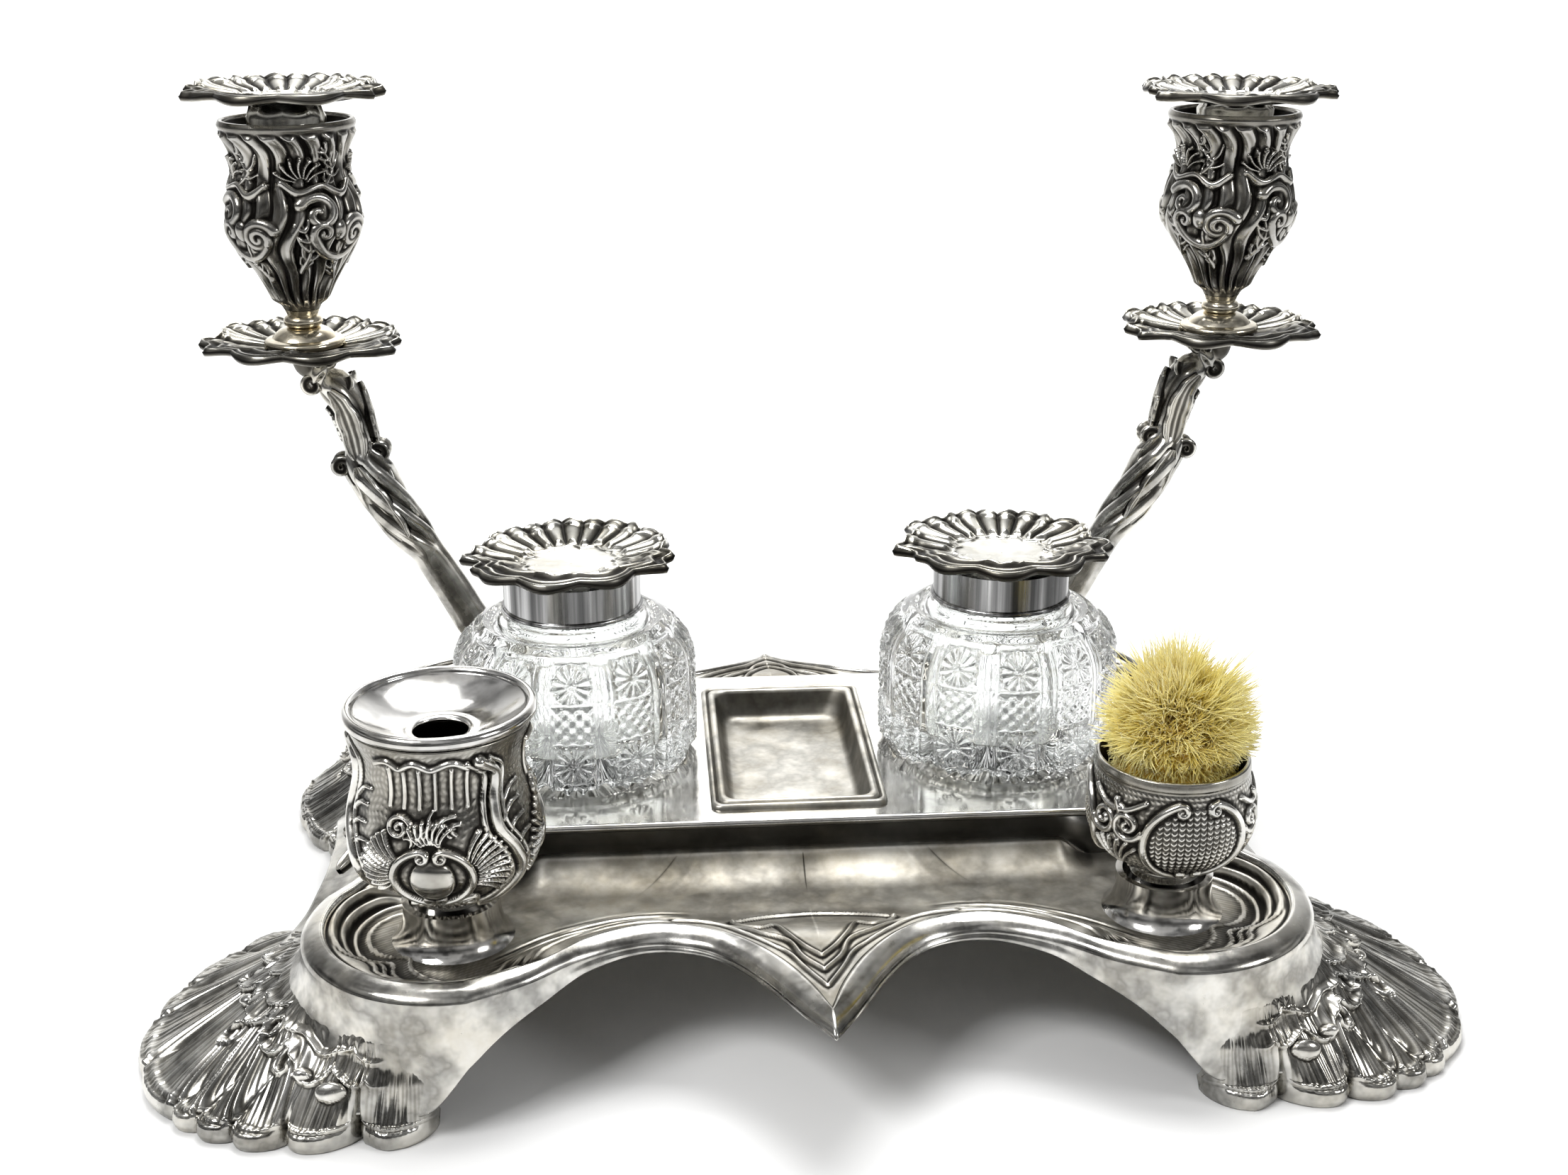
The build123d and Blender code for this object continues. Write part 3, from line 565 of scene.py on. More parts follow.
def tray_shell():
    """Rolled rim and sheet in one: deep at the corners, where it flares down to the feet, thin between."""
    section = smooth([
        (6.7, 39.2), (6.3, 40.3), (5.5, RIM_TOP - 0.05), (4.4, RIM_TOP - 0.25), (2.6, 40.1), (1.1, 39.2),
        (0.2, 38.2), (-0.1, 37.5)], 22)
    rim = np.stack([np.column_stack([outline(d), np.full(len(outline(d)), z)]) for d, z in section], 1)
    edge = outline(-0.1)
    along = np.roll(edge, -1, 0) - np.roll(edge, 1, 0)
    out = unit(np.stack([along[:, 1], -along[:, 0]], 1), 0)
    low_f, out_f = apron_rules(1.0)
    low_r, out_r = apron_rules(REAR_SQUEEZE)
    lowest = ring_blur(all_round(low_f, low_r), 10)[:, None]
    reach = ring_blur(all_round(out_f, out_r), 10)[:, None]
    v = np.r_[np.linspace(0.02, 0.95, 30), 0.985, 1.0][None]
    fold = 37.2                         # height where the rim turns down into the sheet
    z = fold - (fold - lowest) * v ** 0.92
    far = reach * v ** 1.8 + 0.25 * np.sin(v * math.pi)
    outer = np.dstack([edge[:, None, 0] + out[:, None, 0] * far, edge[:, None, 1] + out[:, None, 1] * far, z])
    back = np.column_stack([out, np.zeros(len(edge))])[:, None]
    lip = outer[:, -1:] - back * 0.4 - (0, 0, 0.5)
    inner = outer[:, ::-1] - back * 1.7 - (0, 0, 0.3)
    pts = np.concatenate([rim, outer, lip, inner], 1)
    pts[..., 2] -= BACK_DROP * back_point(pts[..., 0], pts[..., 1])
    pts[..., 2] = np.maximum(pts[..., 2], 0.15)
    tone = np.full(pts.shape[:2], 0.64)
    # painted shade along the foot of the rim, where it meets the floor
    tone[:, 0] = 0.1
    tone[:, 1] = 0.35
    shell = grid("tray_shell", pts, wrap_u=True, wrap_v=True, tone=tone, material=CAST, body="stand")
    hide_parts("stand_tray")


def near_line(x, y, points):
    """Distance from every (x, y) to a run of points."""
    best = np.full_like(x, 1e9)
    for a, b in zip(points, points[1:]):
        best = np.minimum(best, np.hypot(*off_segment(x, y, a, b)))
    return best


def floor_height(x, y):
    """Mouldings, matted wells, engraved streaks and pen channel of the tray floor, over its bottom."""
    ax, ay = np.abs(x), np.abs(y)
    rim_gap = near_line(x, y, outline(0, 30))
    ends = ease((ay - 52) / 16)         # 1 in front of and behind the plinth
    # hollows under the pens
    h = -4.2 * ease((66 + 14 - ax) / 14) * ease(1 - np.abs(ay - 64) / 22)
    # round wells in the corners, with a cusped border; facing is 1 on the side of the middle
    px, py = ax - LOBE[0], -(ay + LOBE[1])
    rho = np.hypot(px, py)
    phi = np.degrees(np.arctan2(py, px))
    cusps = np.abs(np.sin(np.radians(phi * 1.5 + 68)))
    bracket = 22.0 + 4.2 * cusps - 3.4 * hump(phi + 38, 9)
    facing = ease((104 - np.abs(phi + 42)) / 22)
    plain = ends * (1 - facing)
    h = h * (1 - plain * ease((18 - rim_gap) / 8)) + plain * 6.3 * (1 - ease((rim_gap - 8) / 13))
    climb = ease((rho - bracket + 0.6) / (33.2 - bracket))
    h = h * (1 - facing) + facing * 5.9 * climb
    for step in (0.0, 2.7, 5.4):
        h += 0.85 * facing * hump(rho - bracket - step, 0.62)
        h -= 0.45 * facing * hump(rho - bracket - step - 1.35, 0.6)
    inner = rho < bracket - 1
    h += 0.6 * facing * inner * hump(rho - bracket * (0.70 + 0.18 * cusps), 0.5)
    h += 0.07 * np.sin((px * 0.6 + py) * 4.6) * facing * inner
    h = np.maximum(h, 5.4 * ease((ay - 68) / 24) * ease((44 - ax) / 16) * (1 - facing))
    # stepped lines round the plain field in each point
    lines = ([(22, -77), (20, -81.5), (15, -84.5), (11, -82.5), (8, -90), (4, -97), (0, -102)],
             [(31, -79), (24, -82), (19, -85.5), (15, -89), (8, -94), (5, -102), (0, -109)],
             [(38, -82), (27, -84.5), (19.5, -90), (12.6, -96), (8, -101), (4.5, -109), (0, -117.5)],
             [(22, -77), (12, -73), (0, -71.5)])
    for line in lines:
        gap = near_line(ax, -ay, smooth(line, 26))
        h += 0.75 * hump(gap, 0.55) * (1 - facing)
        h -= 0.25 * hump(gap - 1.1, 0.5) * (1 - facing)
    # cove that climbs to the plinth
    cove = np.where(y < 0, ay + low("ink_plinth")[1], ay - high("ink_plinth")[1])
    h += 5.5 * np.clip(1 - cove / 15, 0, 1) ** 2 * (cove > -2) * ease((84 - ax) / 10)
    # engraved streaks that follow the rim
    sweep = np.sin(rim_gap * 2.3 + 2.2 * np.sin(ax * 0.05)) + 0.6 * np.sin(rim_gap * 4.1 + ax * 0.11)
    band = ease((ax - 30) / 12) * ease((rim_gap - 7) / 2) * ease((26 - rim_gap) / 6)
    h += 0.24 * sweep * ends * (1 - facing) * band
    return h


def tray_floor():
    """Relief of the floor on rings that shrink from the rim to the middle."""
    rings = np.r_[0, 0.14, np.linspace(0.26, 1, int(150 * FINE))]
    edge = outline(6.3, int(124 * FINE))
    flat = edge[:, None, :] * rings[None, :, None]
    h = floor_height(flat[..., 0], flat[..., 1])
    pts = np.dstack([flat, FLOOR_Z + h - BACK_DROP * back_point(flat[..., 0], flat[..., 1])])
    tone = cavity(h, 7, 1.5)
    # painted shade in the crease where the floor meets the rim
    tone[:, -2:] = 0.08
    grid("tray_floor", pts, wrap_u=True, tone=tone, material=FLOOR, body="stand")


def leaf_grid(path, widths, up, hollow=0.9, ribs=5, thick=1.2, fine=0.16, edge=0.9, across=31):
    """Closed petal along a 3-D path: rolled edges, a hollow middle, fine veins."""
    path = np.asarray(path, float)
    along = unit(np.gradient(path, axis=0))
    side = unit(np.cross(along, np.asarray(up, float)))
    lift = np.cross(side, along)
    s = np.sin(np.linspace(-math.pi / 2, math.pi / 2, across))[None]
    w = np.asarray(widths)[:, None]
    inside = np.clip(1 - (s / 0.74) ** 2, 0, 1)
    size = np.clip(w / 3.0, 0.25, 1)
    rolled = edge * hump(np.abs(s) - 0.82, 0.13) * size
    veins = fine * np.cos(s * ribs * math.pi) * np.sqrt(inside) * size
    h = thick * dome(s ** 4) + rolled - hollow * inside * size + veins
    top = path[:, None] + side[:, None] * (w * s)[..., None] + lift[:, None] * h[..., None]
    sunk = lift[:, None] * (0 * h - 0.8)[..., None]
    under = path[:, None] + side[:, None] * (w * s * 0.93)[..., None] + sunk
    pts = np.concatenate([top, under[:, ::-1]], 1)
    tone = np.full(pts.shape[:2], 0.5)
    # painted highlight on the rolled borders, painted shade in the hollow middle and a dark painted line
    # along the very edge
    shade = 0.52 + 0.25 * rolled - 0.10 * inside + 1.1 * veins - 0.5 * (np.abs(s) > 0.975)
    tone[:, :across] = np.clip(shade, 0, 1)
    return pts, tone


def join_grids(name, parts, material, body, flip=False):
    """One piece from several closed petals."""
    points, faces, tones, start = [], [], [], 0
    for pts, tone in parts:
        nu, nv = pts.shape[:2]
        faces.append(grid_faces(nu, nv, wrap_v=True, flip=flip) + start)
        points.append(pts.reshape(-1, 3))
        tones.append(tone.ravel())
        start += nu * nv
    build(name, np.vstack(points), np.vstack(faces), np.concatenate(tones), material=material, body=body)


def tier(angle, v, edges, start, end, bulge, thick, ribs=4.6):
    """One overlapping row of scalloped petals as relief: rolled borders, striated hollows."""
    edges = np.array(edges)
    k = np.clip(np.searchsorted(edges, angle, side="right") - 1, 0, len(edges) - 2)
    half = (edges[k + 1] - edges[k]) / 2
    t = np.clip((angle - edges[k]) / half - 1, -1, 1)
    tip = end - bulge * (1 - dome(t * t))
    inside = ease((tip - v) / 0.022)
    grow = ease((v - start) / 0.22)
    h = thick * inside * grow * (0.5 + 0.5 * dome(t ** 6))
    h += 0.55 * hump(tip - v - 0.03, 0.018) * grow
    h += 0.8 * hump(np.abs(t) - 0.86, 0.10) * inside * grow
    hollow = np.clip(1 - (t / 0.86) ** 2, 0, 1) * ease((tip - v - 0.04) / 0.05) * grow
    h -= 0.8 * hollow
    streak = 0.09 * np.cos(t * half * ribs) + 0.17 * np.cos(t * half * ribs * 0.31 + 2 * np.sin(4 * v + k))
    return h + streak * np.sqrt(hollow)


def teardrop(angle, v, at, where, wide, long):
    """Raised loop round a dark hollow."""
    q = np.hypot((angle - at) / wide, (v - where) / long * (1 + 0.4 * (v > where)))
    return 1.1 * hump(q - 1, 0.24) - 1.2 * ease((0.85 - q) / 0.3)


def shell_foot(tag, sx, sy, squeeze):
    """Splayed foot: fluted petals sweep forward out of the sheet and end in rounded toes. It is worked out
    for the front right corner and carried to the others by the signs."""
    angle = np.linspace(PETALS[0], PETALS[-1], int(560 * FINE))[:, None]
    v = np.linspace(0, 1, int(120 * FINE))[None]
    lobes = np.array(PETALS)
    k = np.clip(np.searchsorted(lobes, angle, side="right") - 1, 0, len(lobes) - 2)
    t = np.clip(2 * (angle - lobes[k]) / (lobes[k + 1] - lobes[k]) - 1, -1, 1)
    lobe = dome(t * t)
    side_on = ease((angle + 56) / 30)
    swept = angle - 17 * side_on * (1 - v)
    joint = np.interp(angle, [-86, -62, -46, -30, 0, 49], [0.60, 0.58, 0.54, 0.42, 0.40, 0.46])
    h = tier(swept, v, lobes, joint - 0.26, np.full_like(angle, 1.05), 0.0, 1.5)
    leaves = (-86, -72, -58, -47, -38, -27, -16, -6, 5, 18, 31, 44, 49)
    wavy = 0.05 * np.sin(angle * 0.37)
    toe_free = ease((angle + 72) / 14)
    start, tall, small = 0.10 - 0.04 * side_on, 0.35 + 1.1 * side_on, 0.12 + 0.88 * side_on
    h += toe_free * tier(swept + 6, v, leaves, start, joint + wavy, 0.16, tall)
    h += toe_free * tier(swept, v, leaves[::2], 0.02, joint * 0.56 + wavy * 0.6, 0.10, small)
    for at, where, wide, long in ((-37, 0.44, 2.6, 0.13), (-25, 0.30, 2.2, 0.09), (-14, 0.52, 2.4, 0.10),
                                  (12, 0.46, 2.0, 0.10)):
        h += teardrop(angle, v, at, where, wide, long)
    for at, where, size in ((-55, 0.60, 3.6), (-45, 0.50, 2.0), (-4, 0.38, 1.8)):
        gap = np.hypot((angle - at) * 0.9, (v - where) * 40) / size
        h = np.where(gap < 1, np.maximum(h, 2.2 + 1.5 * dome(gap ** 2)), h)
    h *= ease((angle + 86) / 5) * ease((49 - angle) / 5)
    h += 0.8 * hump(v - 0.955, 0.025) * lobe
    z = 30.0 - 26.4 * v ** 0.9 + 0 * angle
    pull = (1 - lobe) * np.array(NOTCHES)[k] * (0.4 + 0.6 * squeeze) * v ** 4
    swell = 3.4 * hump(angle + 74, 7) * squeeze * v ** 4
    r = flare(angle, z - 3.6 * v, squeeze) - 0.5 + 0.85 * ease(v / 0.14) - pull - 0.8 * v ** 8 + swell
    a = np.radians(angle)
    ray = np.dstack([np.cos(a), np.sin(a), 0 * a])
    slope = np.clip(0.30 + 0.6 * v, 0, 1) + 0 * a
    lean = np.dstack([np.cos(a) * (1 - slope * 0.5), np.sin(a) * (1 - slope * 0.5), slope])
    outer = np.dstack([LOBE[0] + r * np.cos(a), LOBE[1] + r * np.sin(a), z]) + lean * h[..., None]
    end = outer[:, -1:]
    curl = [end * (1, 1, 1 - c) + ray * 0.8 * math.sin(math.pi * c) for c in (0.2, 0.45, 0.7, 0.9, 0.99)]
    inner = outer[:, ::-4] - ray * 3.4 - (0, 0, 1.5)
    inner[..., 2] = np.maximum(inner[..., 2], 0.3)
    pts = np.concatenate([outer] + curl + [inner[:, 1:]], 1)
    pts[..., 2] = np.maximum(pts[..., 2], 0.0)
    tone = np.full(pts.shape[:2], 0.60)
    tone[:, :v.shape[1]] = np.clip(cavity(h, 6, 0.85, wrap_u=False) + 0.10, 0, 1)
    foot = grid("shell_foot_" + tag, pts * (sx, -sy, 1), wrap_v=True, tone=tone, material=CAST, body="stand",
                flip=sx * sy > 0)
    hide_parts("foot_" + tag)


def side_scroll(side):
    """Oval leaf scroll on the side of the sheet."""
    parts = []
    t = np.linspace(0, 1, 26)
    outward = (0.5, 0, 0.85)

    def swell(start):
        return np.sqrt(np.clip(np.sin(np.linspace(start, math.pi - 0.05, len(t))), 0, 1))

    for dy in (-1, 1):
        path = np.stack([122 + 16 * t ** 1.1 - 3 * t * t, dy * (2 + 20 * t), 33 - 7 * t], 1)
        parts.append(leaf_grid(path, 4.4 * swell(0.2), outward, ribs=4))
    path = np.stack([114 + 22 * t, 0 * t, 36.4 - 9.5 * t ** 1.4], 1)
    parts.append(leaf_grid(path, 6.5 * swell(0.25), outward, thick=1.8))
    parts = [(p * (side, 1, 1), tone) for p, tone in parts]
    join_grids("side_scroll_" + ("left" if side < 0 else "right"), parts, CAST, "stand", flip=side < 0)


def round_rect(cx, cy, half_x, half_y, r, z, n=12):
    """Closed loop of points round a rectangle with round corners."""
    loop = []
    for sx, sy, a0 in ((1, 1, 0), (-1, 1, 90), (-1, -1, 180), (1, -1, 270)):
        loop.append(arc(cx + sx * (half_x - r), cy + sy * (half_y - r), r, a0, a0 + 90, n))
    loop = np.vstack(loop)
    return np.column_stack([loop, np.full(len(loop), z)])


def nib_dish():
    """Sunk dish with a double moulded frame and a broad flat bottom."""
    cx, cy = middle("nib_tray")[:2]
    hx, hy = (high("nib_tray") - low("nib_tray"))[:2] / 2
    top = high("nib_tray")[2]
    levels = [(0, -1.5, 3), (0.1, -0.5, 3), (0.7, 0.1, 3), (1.3, 0.1, 3), (1.6, -0.6, 3), (2.1, -0.7, 3),
              (2.4, 0.1, 3), (3.2, 0.5, 3), (4, 0.2, 4), (4.5, -0.8, 5), (5.1, -4, 6), (6.2, -7.2, 6),
              (8, -8.4, 6), (11, -8.6, 6), (16, -8.6, 4)]      # inset, height over the frame, corner radius
    rings = [round_rect(cx, cy, hx - d, hy - d, r, top + z) for d, z, r in levels]
    centre = rings[-1] * (0, 0, 1) + (cx, cy, 0)
    pts = np.stack(rings + [centre], 1)
    tone = np.full(pts.shape[:2], 0.62)
    # painted shade in the groove of the frame and down the steep wall into the dish
    tone[:, 4:6] = 0.30
    tone[:, 9:12] = 0.42
    dish_piece = grid("nib_dish", pts, wrap_u=True, tone=tone, material=FLOOR, body="stand")
    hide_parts("nib_tray")


def stand():
    tray_shell()
    tray_floor()
    nib_dish()
    for side_name, sx in SIDES.items():
        for end_name, sy, squeeze in (("front", -1, 1.0), ("rear", 1, REAR_SQUEEZE)):
            shell_foot(end_name + "_" + side_name, sx, sy, squeeze)
        side_scroll(sx)
    paint(PLINTH, "ink_plinth")
    paint(SMOOTH, "socket_ring_left", "socket_ring_right", "branch_receiver_left", "branch_receiver_right")
    paint(BRASS, "plinth_nuts", "socket_nuts")


stand()


# ---- pot, cup and wiper ----

POT = middle("pot_body")[:2]
CUP = middle("wiper_cup")[:2]


def pot_relief(turn, profile):
    """Rocaille: S-scroll ribs, shell fans and a framed oval boss."""
    c = Chasing(turn, profile, 22.0)
    w, t = c.wide, c.tall
    mat_x, mat_y = c.x * 1.9 + 1.3 * np.sin(c.y * 0.8), c.y * 1.7 + 1.1 * np.sin(c.x * 0.7)
    c.h += 0.07 * np.abs(np.sin(mat_x) * np.sin(mat_y))
    for k in range(3):
        x = 102.0 - w / 3 * k
        c.boss(x, 24, 5.4, 6.6, 2.4)
        c.c_scroll(x, 24, 9.4, 8.8, 108, 256, 1.15, 1.9)
        c.c_scroll(x, 24, 9.4, 8.8, 72, -76, 1.15, 1.9)
        c.fan(x, 31, 90, 70, 7, 3.5, 9, 0.65, 1.3)
        c.fan(x - 6, 25, 165, 95, 11, 5, 13, 0.62, 1.1)
        c.fan(x + 6, 25, 15, 95, 11, 5, 13, 0.62, 1.1)
        c.fan(x, 18, -90, 120, 9, 3, 9.5, 0.6, 1)
        c.volute(x - 8, 38, 3.3, 20, 1.6, 0.8, 1.5)
        c.volute(x + 9.5, 14, 3.2, 160, -1.6, 0.8, 1.5)
        c.leaf([(x - 3, 36), (x + 1, 39.5), (x + 6, 38)], 2.6, 1.2, 4)
        c.leaf([(x + 2, 34), (x - 2, 37), (x - 5, 35)], 2, 1.2, 4)
        s_rib = smooth([
            (x + 13, t - 4), (x + 18, t - 9), (x + 17, t - 17), (x + 17, 36), (x + 21, 29), (x + 23, 22),
            (x + 20, 14), (x + 14, 10)], 70)
        c.ridge(s_rib, 1.7, 2.6, 0.8)
        c.ridge(s_rib - (3, 0.4), 0.8, 1.5, 0.8)
        c.ridge(s_rib + (2.9, 0.4), 0.6, 1.2, 0.8)
        c.volute(x + 14.5, t - 6.5, 2.6, 0, 1.4, 0.9, 1.7)
        for j in range(7):
            y = 14 + j * 4.6
            barb = [(x + 20.5 + 2 * math.sin(j), y), (x + 24 + 2 * math.sin(j), y + 3.2),
                    (x + 27.5 + 1.5 * math.sin(j), y + 4)]
            c.ridge(smooth(barb, 8), 0.75, 1.1, 0.6)
        crest = smooth([
            (x - 14, t - 5), (x - 10, t - 3.4), (x - 7, t - 5.4), (x - 3, t - 3.2), (x + 1, t - 5.2),
            (x + 6, t - 3.2), (x + 10, t - 5.6)], 44)
        c.ridge(crest, 0.9, 1.4, 1)
        for j in range(6):
            c.ridge([(x - 11 + 4.2 * j, t - 17), (x - 10.6 + 4.2 * j, t - 6)], 0.55, 0.9, 1)
    for k in range(24):
        x = w * k / 24
        c.ridge([(x, 2), (x + 0.8, 8)], 1.1, 1, 1.1)
    return c.h * ease((t - c.y) / 2.0) * ease(c.y / 2.0)


def cup_relief(turn, profile):
    """Scroll-framed fields of knurling and spirals."""
    c = Chasing(turn, profile, 20.5)
    w, t = c.wide, c.tall
    fields = 3
    c.h += 0.14 * np.abs(np.sin(c.x * 2.1 + 1.2 * np.sin(c.y)) * np.sin(c.y * 2.0))
    for k in range(fields):
        x = 98.4 - w * k / fields
        inside = ((c.x - x) / 12.5) ** 2 + ((c.y - 24) / 12.5) ** 2
        column = np.sin(c.x * 1.75)
        knurl = 0.55 * np.abs(column) ** 0.7 * np.abs(np.sin(c.y * 2.1 + 1.2 * column ** 2))
        c.h = np.maximum(c.h, knurl * ease((1.0 - inside) * 4))
        c.c_scroll(x, 24, 13.5, 13.5, 112, 255, 1.2, 1.6)
        c.c_scroll(x, 24, 13.5, 13.5, 68, -75, 1.2, 1.6)
        y = x + w / fields / 2
        c.volute(y - 3.6, 29, 4.2, 200, 1.6, 1, 1.5)
        c.volute(y + 3.6, 29, 4.2, -20, -1.6, 1, 1.5)
        c.fan(y, 14, 90, 70, 6, 2, 10.5, 0.6, 0.9)
        c.leaf([(y, 35), (y + 1.5, 30), (y, 24)], 3.2, 1, 4)
        c.ridge(smooth([(y - 8, 36), (y - 3, 33), (y + 3, 33), (y + 8, 36)], 20), 0.8, 1.1, 1)
    for k in range(22):
        x = w * k / 22
        c.ridge([(x, 5.5), (x + 1.2, 11.5)], 0.9, 0.7, 1.2)
    return c.h * ease((t - 2.8 - c.y) / 0.8) * ease((c.y - 4) / 2.0)


def pot():
    """Chased baluster pot with its loose dished cover."""
    outside = smooth([
        (9, 45.4), (8.7, 47.2), (10.6, 49.2), (15.4, 51.6), (18.9, 54.2), (22.4, 58.6), (24, 63), (24, 68),
        (23, 74), (21.2, 81), (20.6, 85), (20.9, 90), (22.4, 94), (23.8, 97.6)], 230)
    inside = smooth([
        (23.2, 98), (21.8, 95), (19.4, 91), (18.9, 84), (21.6, 72), (22.2, 64), (17, 54.8), (9, 50.6),
        (0, 50)], 40)
    foot = smooth([(0, 46), (6, 45.6), (9, 45.4)], 8)
    body = lathe("pot_chased", POT, outside, inside, 560, pot_relief, material=CHASED, body="pot")
    lathe("pot_base", POT, foot, None, 90, material=CHASED, body="pot")
    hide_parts("pot_body")
    rim = smooth([
        (21.4, 98.5), (22.4, 98.4), (24, 98.4), (25, 99.2), (25.2, 100.4), (24.5, 101.6), (23.4, 101.9),
        (22.6, 101.2), (22, 100.2), (19, 98.2), (14.5, 95.9), (10.5, 94.5), (8.6, 94.4), (7.4, 94),
        (7.1, 93.2), (7.4, 92.6), (8.2, 92.8), (10.6, 93.1), (14.6, 94.5), (18.9, 96.8), (21, 98)], 120)
    cover = lathe("pot_cover_dish", POT, rim, rim[:1], 200, tone_base=0.66, material=SMOOTH, body="cover")
    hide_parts("pot_cover")


def cup():
    """Chased egg-shaped cup."""
    outside = smooth([
        (9.4, 45.4), (8, 46.8), (8.6, 48.6), (12.6, 50.8), (16.4, 53), (19.6, 56.4), (21.4, 60.2),
        (22, 64.6), (21.7, 70), (20.9, 75.4), (20.5, 77.4), (20.9, 78.6), (20.6, 80.3)], 200)
    inside = smooth([
        (20.2, 80.7), (19.3, 80.2), (19.2, 76), (20.2, 70), (20.4, 64), (17, 57.6), (11, 53.4),
        (0, 52.6)], 36)
    body = lathe("cup_chased", CUP, outside, inside, 520, cup_relief, material=CHASED, body="cup")
    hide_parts("wiper_cup")
    foot = smooth([(0, 46), (6, 45.6), (9.4, 45.4)], 8)
    lathe("cup_base_disc", CUP, foot, None, 90, material=CHASED, body="cup")


def wiper():
    """Pom of yellow fibres: a core with thousands of curved tufts."""
    rng = np.random.default_rng(7)
    core = smooth([
        (0, 58), (9, 58.6), (15, 63), (16.4, 70), (14.6, 79), (12.5, 87), (9, 94.5), (5, 98.5),
        (0, 99.5)], 60)
    # the core takes the darkest tone: painted shade deep inside the pom
    shell = lathe("wiper_core", CUP, core, None, 90, tone_base=0.12, material=TUFTS, body="wiper")
    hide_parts("pen_wiper")
    count = int(10500 * FINE)
    polar = np.arccos(1 - 1.66 * rng.random(count))
    turn = rng.random(count) * 2 * math.pi
    ball_z, ball_r, mouth_z = 88.0, 13.0, 84.5
    d = np.stack([np.sin(polar) * np.cos(turn), np.sin(polar) * np.sin(turn), np.cos(polar)], 1)
    cone = 1 - 0.22 * np.clip(d[:, 2], 0, 1)
    root = np.stack([CUP[0] + d[:, 0] * ball_r * cone + 1, CUP[1] + d[:, 1] * ball_r * cone,
                     ball_z + d[:, 2] * 13.5], 1)
    clump = 1.0
    for way, shift in (((7.1, 3.3, 2), 0), ((-2.2, 6.4, 5), 1), ((3, -4.4, 7.7), 2)):
        clump = clump * np.sin(d @ np.array(way) + shift)
    length = 4.8 + 8.5 * clump + 2.4 * rng.random(count) ** 2
    wander = d + rng.normal(0, 0.30, (count, 3)) + clump[:, None] * np.array([0.25, 0.1, -0.1])
    wander = unit(wander, 0)
    curl = rng.normal(0, 0.9, (count, 3)) + np.array([0, 0, 0.35])
    rings, points = 4, []
    helper = unit(np.cross(wander, [0.3, 0.5, 0.8]), 0)
    other = np.cross(wander, helper)
    tone = []
    for i in range(rings):
        t = i / (rings - 1)
        at = root + wander * (length * t)[:, None] + curl * t * t * 1.5
        flat = np.hypot(at[:, 0] - CUP[0], at[:, 1] - CUP[1])
        room = np.where(at[:, 2] < mouth_z, 17.4, 23.0)
        pull = np.minimum(1, room / np.maximum(flat, 1e-6))[:, None]
        at[:, :2] = CUP + (at[:, :2] - CUP) * pull
        wide = 0.26 * (1 - t) ** 0.6 + 0.04
        for k in range(3):
            a = 2 * math.pi * k / 3
            points.append(at + (helper * math.cos(a) + other * math.sin(a)) * wide)
            # painted shade: darker at the root, lighter towards the tip and on the longer clumps
            tone.append(np.clip(0.30 + 0.62 * t + 0.45 * clump + rng.normal(0, 0.06, count), 0, 1))
    pts = np.stack(points, 1).reshape(-1, 3)
    base = np.arange(count)[:, None] * rings * 3
    quads = [[i * 3 + k, i * 3 + (k + 1) % 3, (i + 1) * 3 + (k + 1) % 3, (i + 1) * 3 + k]
             for i in range(rings - 1) for k in range(3)]
    faces = (base[:, :, None] + np.array(quads)[None]).reshape(-1, 4)
    tufts = build("wiper_tufts", pts, faces, np.stack(tone, 1).ravel(), material=TUFTS, body="wiper")


pot()
cup()
wiper()


# ---- inkwells ----

def cut_pattern(turn, profile):
    """Columns of cut stars and diamonds between plain flutes."""
    pitch = 2 * math.pi / 12            # twelve columns, 12.8 mm wide between the flutes
    a = (turn + pitch / 2) % pitch - pitch / 2
    x = (a * GIRTH)[:, None]
    z = profile[:, 1][None]
    half = 6.4
    h = np.zeros((len(turn), len(profile)))
    flute = np.clip((np.abs(x) - half) / (pitch * GIRTH / 2 - half), 0, 1)
    h -= 1.5 * dome((1 - flute) ** 2) * (flute > 0) * ease((91.5 - z) / 3)
    h -= 0.9 * hump(np.abs(x) - half, 0.5) * ease((91 - z) / 2)
    panel = np.abs(x) < half - 0.3
    for top, kind in ((90.0, "star"), (77.6, "diamond"), (65.2, "star")):
        y = z - (top - 6.2)
        field = panel & (np.abs(y) < 6.0)
        if kind == "star":
            phi = np.arctan2(y, x)
            rho = np.hypot(x, y)
            cut = 0.85 * np.abs(np.cos(phi * 6)) ** 1.5 * ease(rho / 2.2) * ease((6.6 - rho) / 2)
            corner = 0.5 * (rho > 6.0)
            h -= np.where(field, cut + corner, 0)
        else:
            saw = np.abs(((x + y) / 4.2) % 1 - 0.5) + np.abs(((x - y) / 4.2) % 1 - 0.5)
            h -= np.where(field, 0.95 * (1 - saw), 0)
        h -= 0.7 * hump(np.abs(y) - 6.2, 0.35) * panel
    foot_top = 52.8
    h -= (z < foot_top) * 1.6 * np.abs(np.cos(turn * 24))[:, None] * ease((foot_top - z) / 1.5)
    return h


